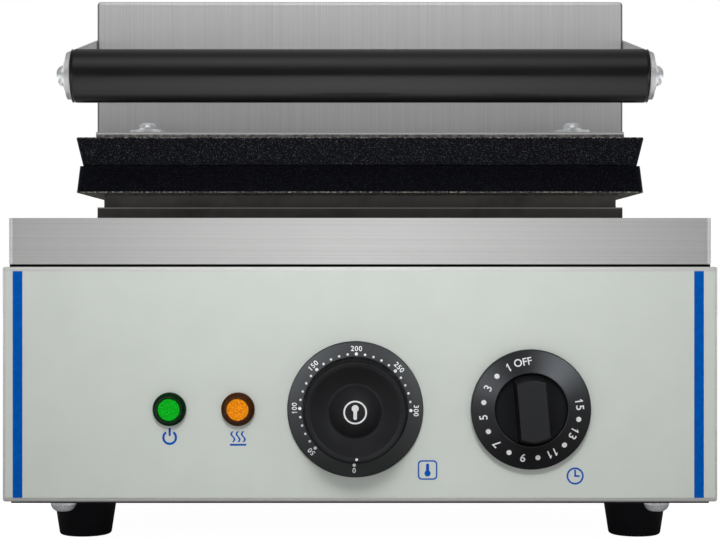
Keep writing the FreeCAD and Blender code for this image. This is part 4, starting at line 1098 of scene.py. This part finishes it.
def floor_finish():
    """White to the camera, and to mirroring faces dark close by, bright further off and dim far away."""
    finish = Finish("floor", {"Roughness": 0.8, "Specular IOR Level": 0.1})
    patches = finish.noise(3.0, 2.0)
    dark, light = floor_greys
    finish.paint("Base Color", finish.shades(patches, grey(dark), grey(light)))
    white = opaque(grey(1.0))
    shown = finish.add("Emission", {"Color": white, "Strength": floor_shown_level}).outputs["Emission"]
    soft = finish.add("Emission", {"Color": white, "Strength": floor_soft_level}).outputs["Emission"]
    ray_length = finish.add("LightPath").outputs["Ray Length"]
    rise = finish.spread(ray_length, floor_pool_start, floor_pool_end, floor_near_level, floor_far_level)
    distance = finish.add("VectorMath", {0: finish.place()}, operation="LENGTH").outputs["Value"]
    fade = finish.spread(distance, floor_fade_start, floor_fade_end, floor_far_level, floor_end_level)
    pool = finish.math("MINIMUM", rise, fade)
    sideways = finish.math("ABSOLUTE", finish.place_axes()["X"])
    side = finish.ramp(finish.spread(sideways, 0.0, floor_side_reach), grey_stops(floor_by_side))
    mirrored = finish.add("Emission", {"Color": side, "Strength": pool}).outputs["Emission"]
    bounced = finish.chosen("Is Diffuse Ray", mirrored, soft)
    glow = finish.chosen("Is Camera Ray", bounced, shown)
    both = finish.add("AddShader", {0: finish.shader.outputs["BSDF"], 1: glow})
    finish.put(finish.tree.nodes["Material Output"].inputs["Surface"], both.outputs["Shader"])
    return finish.material


def studio_floor():
    """The floor that the part stands on."""
    mesh = bpy.data.meshes.new("floor")
    span = (-floor_half, floor_half)
    corners = [(x, y, -floor_drop) for x, y in rectangle(span, span)]
    mesh.from_pydata(corners, [], [(0, 1, 2, 3)])
    mesh.materials.append(floor_finish())
    floor = bpy.data.objects.new("floor", mesh)
    bpy.context.scene.collection.objects.link(floor)


def studio_world():
    """White behind the part, and for its light a room that is dim at eye level and bright above."""
    world = bpy.data.worlds.new("studio")
    bpy.context.scene.world = world
    nodes = Nodes(world)
    axes = nodes.axes(nodes.add("TexCoord").outputs["Generated"])
    height = axes["Z"]
    sideways = nodes.math("ABSOLUTE", axes["X"])
    low = nodes.ramp(sideways, grey_stops(low_room_by_side))
    high_by_side = nodes.ramp(sideways, grey_stops(high_room_by_side))
    high_by_height = nodes.ramp(height, grey_stops(high_room_by_height))
    high = nodes.mix(1.0, high_by_height, high_by_side, "MULTIPLY")
    rise = nodes.spread(height, low_room_top, high_room_bottom)
    room = nodes.add("Background", {"Color": nodes.mix(rise, low, high)}).outputs["Background"]
    soft = nodes.add("Background", {"Color": opaque(grey(soft_room_level))}).outputs["Background"]
    white = nodes.add("Background", {"Color": opaque(grey(1.0))}).outputs["Background"]
    lit = nodes.chosen("Is Diffuse Ray", room, soft)
    seen = nodes.chosen("Is Camera Ray", lit, white)
    nodes.put(nodes.tree.nodes["World Output"].inputs["Surface"], seen)


def studio_light(name, place, aim, size, spread, power, mirrored):
    """A soft rectangular light that looks at a point, and that glossy surfaces mirror or not."""
    data = bpy.data.lights.new(name, "AREA")
    data.shape = "RECTANGLE"
    data.size, data.size_y = size
    data.spread = math.radians(spread)
    data.energy = power
    light = bpy.data.objects.new(name, data)
    light.location = place
    light.rotation_euler = (Vector(aim) - Vector(place)).to_track_quat("-Z", "Y").to_euler()
    light.visible_glossy = mirrored
    bpy.context.scene.collection.objects.link(light)
    return light


def dial_light(name, place, power, pieces, mirrored):
    """A softbox beside the camera that lights some pieces alone, by their gloss or by their colour."""
    light = studio_light(name, place, thermostat, dial_light_size, dial_light_spread, power, mirrored)
    light.data.color = dial_light_colour
    light.visible_diffuse = not mirrored
    lit = bpy.data.collections.new(name)
    for piece in pieces:
        lit.objects.link(piece)
    light.light_linking.receiver_collection = lit


def studio_camera():
    """The level view of the photograph."""
    data = bpy.data.cameras.new("camera")
    data.lens = camera_lens
    data.sensor_width = camera_sensor
    camera = bpy.data.objects.new("camera", data)
    camera.location = camera_place
    camera.rotation_euler = (math.radians(90.0), 0.0, 0.0)
    bpy.context.scene.collection.objects.link(camera)
    bpy.context.scene.camera = camera


finishes = slot_finishes()
dress_frame(finishes)

blue_ink = ink("blue_ink", (0.0004, 0.115, 0.55))
white_ink = ink("white_ink", (0.93, 0.93, 0.93))
panel_stripes(blue_ink)
panel_signs(blue_ink)
scale = thermostat_scale(white_ink)
thermostat_marks(white_ink)
timer_scale(white_ink)
dial_face = moulded("dial_plastic", dial_face_black, 0.42, 0.07, fine_grain)
dial_wall_shade = moulded("dial_wall_shade", painted_shade_black, 0.6, 0.08, fine_grain)
knob = thermostat_dial(dial_face, dial_wall_shade)
ring = thermostat_ring(moulded("ring_plastic", ring_black, 0.4, 0.42, fine_grain))

green_disc = lens_plastic("green_disc", (0.0006, 0.27, 0.006), (0.001, 0.46, 0.014), 0.4)
amber_disc = lens_plastic("amber_disc", (0.5, 0.13, 0.002), (0.84, 0.31, 0.006), 0.4)
lens("power_lens", "power_light", finishes["green_lens"], green_disc)
lens("heat_lens", "heat_light", finishes["amber_lens"], amber_disc)
grip_rings(plated_metal("satin_steel", 0.85, (1.0, 1.0, 1.0), 0.5))
# A black strip in the tray's crease, a painted shade
tray_seal(moulded("crease_shade_black", painted_shade_black, 0.7, 0.08, fine_grain))

studio_floor()
studio_world()
studio_light("key", key_place, key_aim, key_size, key_spread, key_power, True)
studio_light("fill", fill_place, fill_aim, fill_size, fill_spread, fill_power, False)
dials = [knob, ring, frame["nodes"]["timer_knob"]]
dial_light("sheen_left", sheen_left_place, sheen_power, dials, True)
dial_light("sheen_right", sheen_right_place, sheen_power, dials, True)
dial_light("print_fill", print_light_place, print_light_power, [scale], False)
studio_camera()
bpy.context.scene.view_settings.view_transform = "Standard"
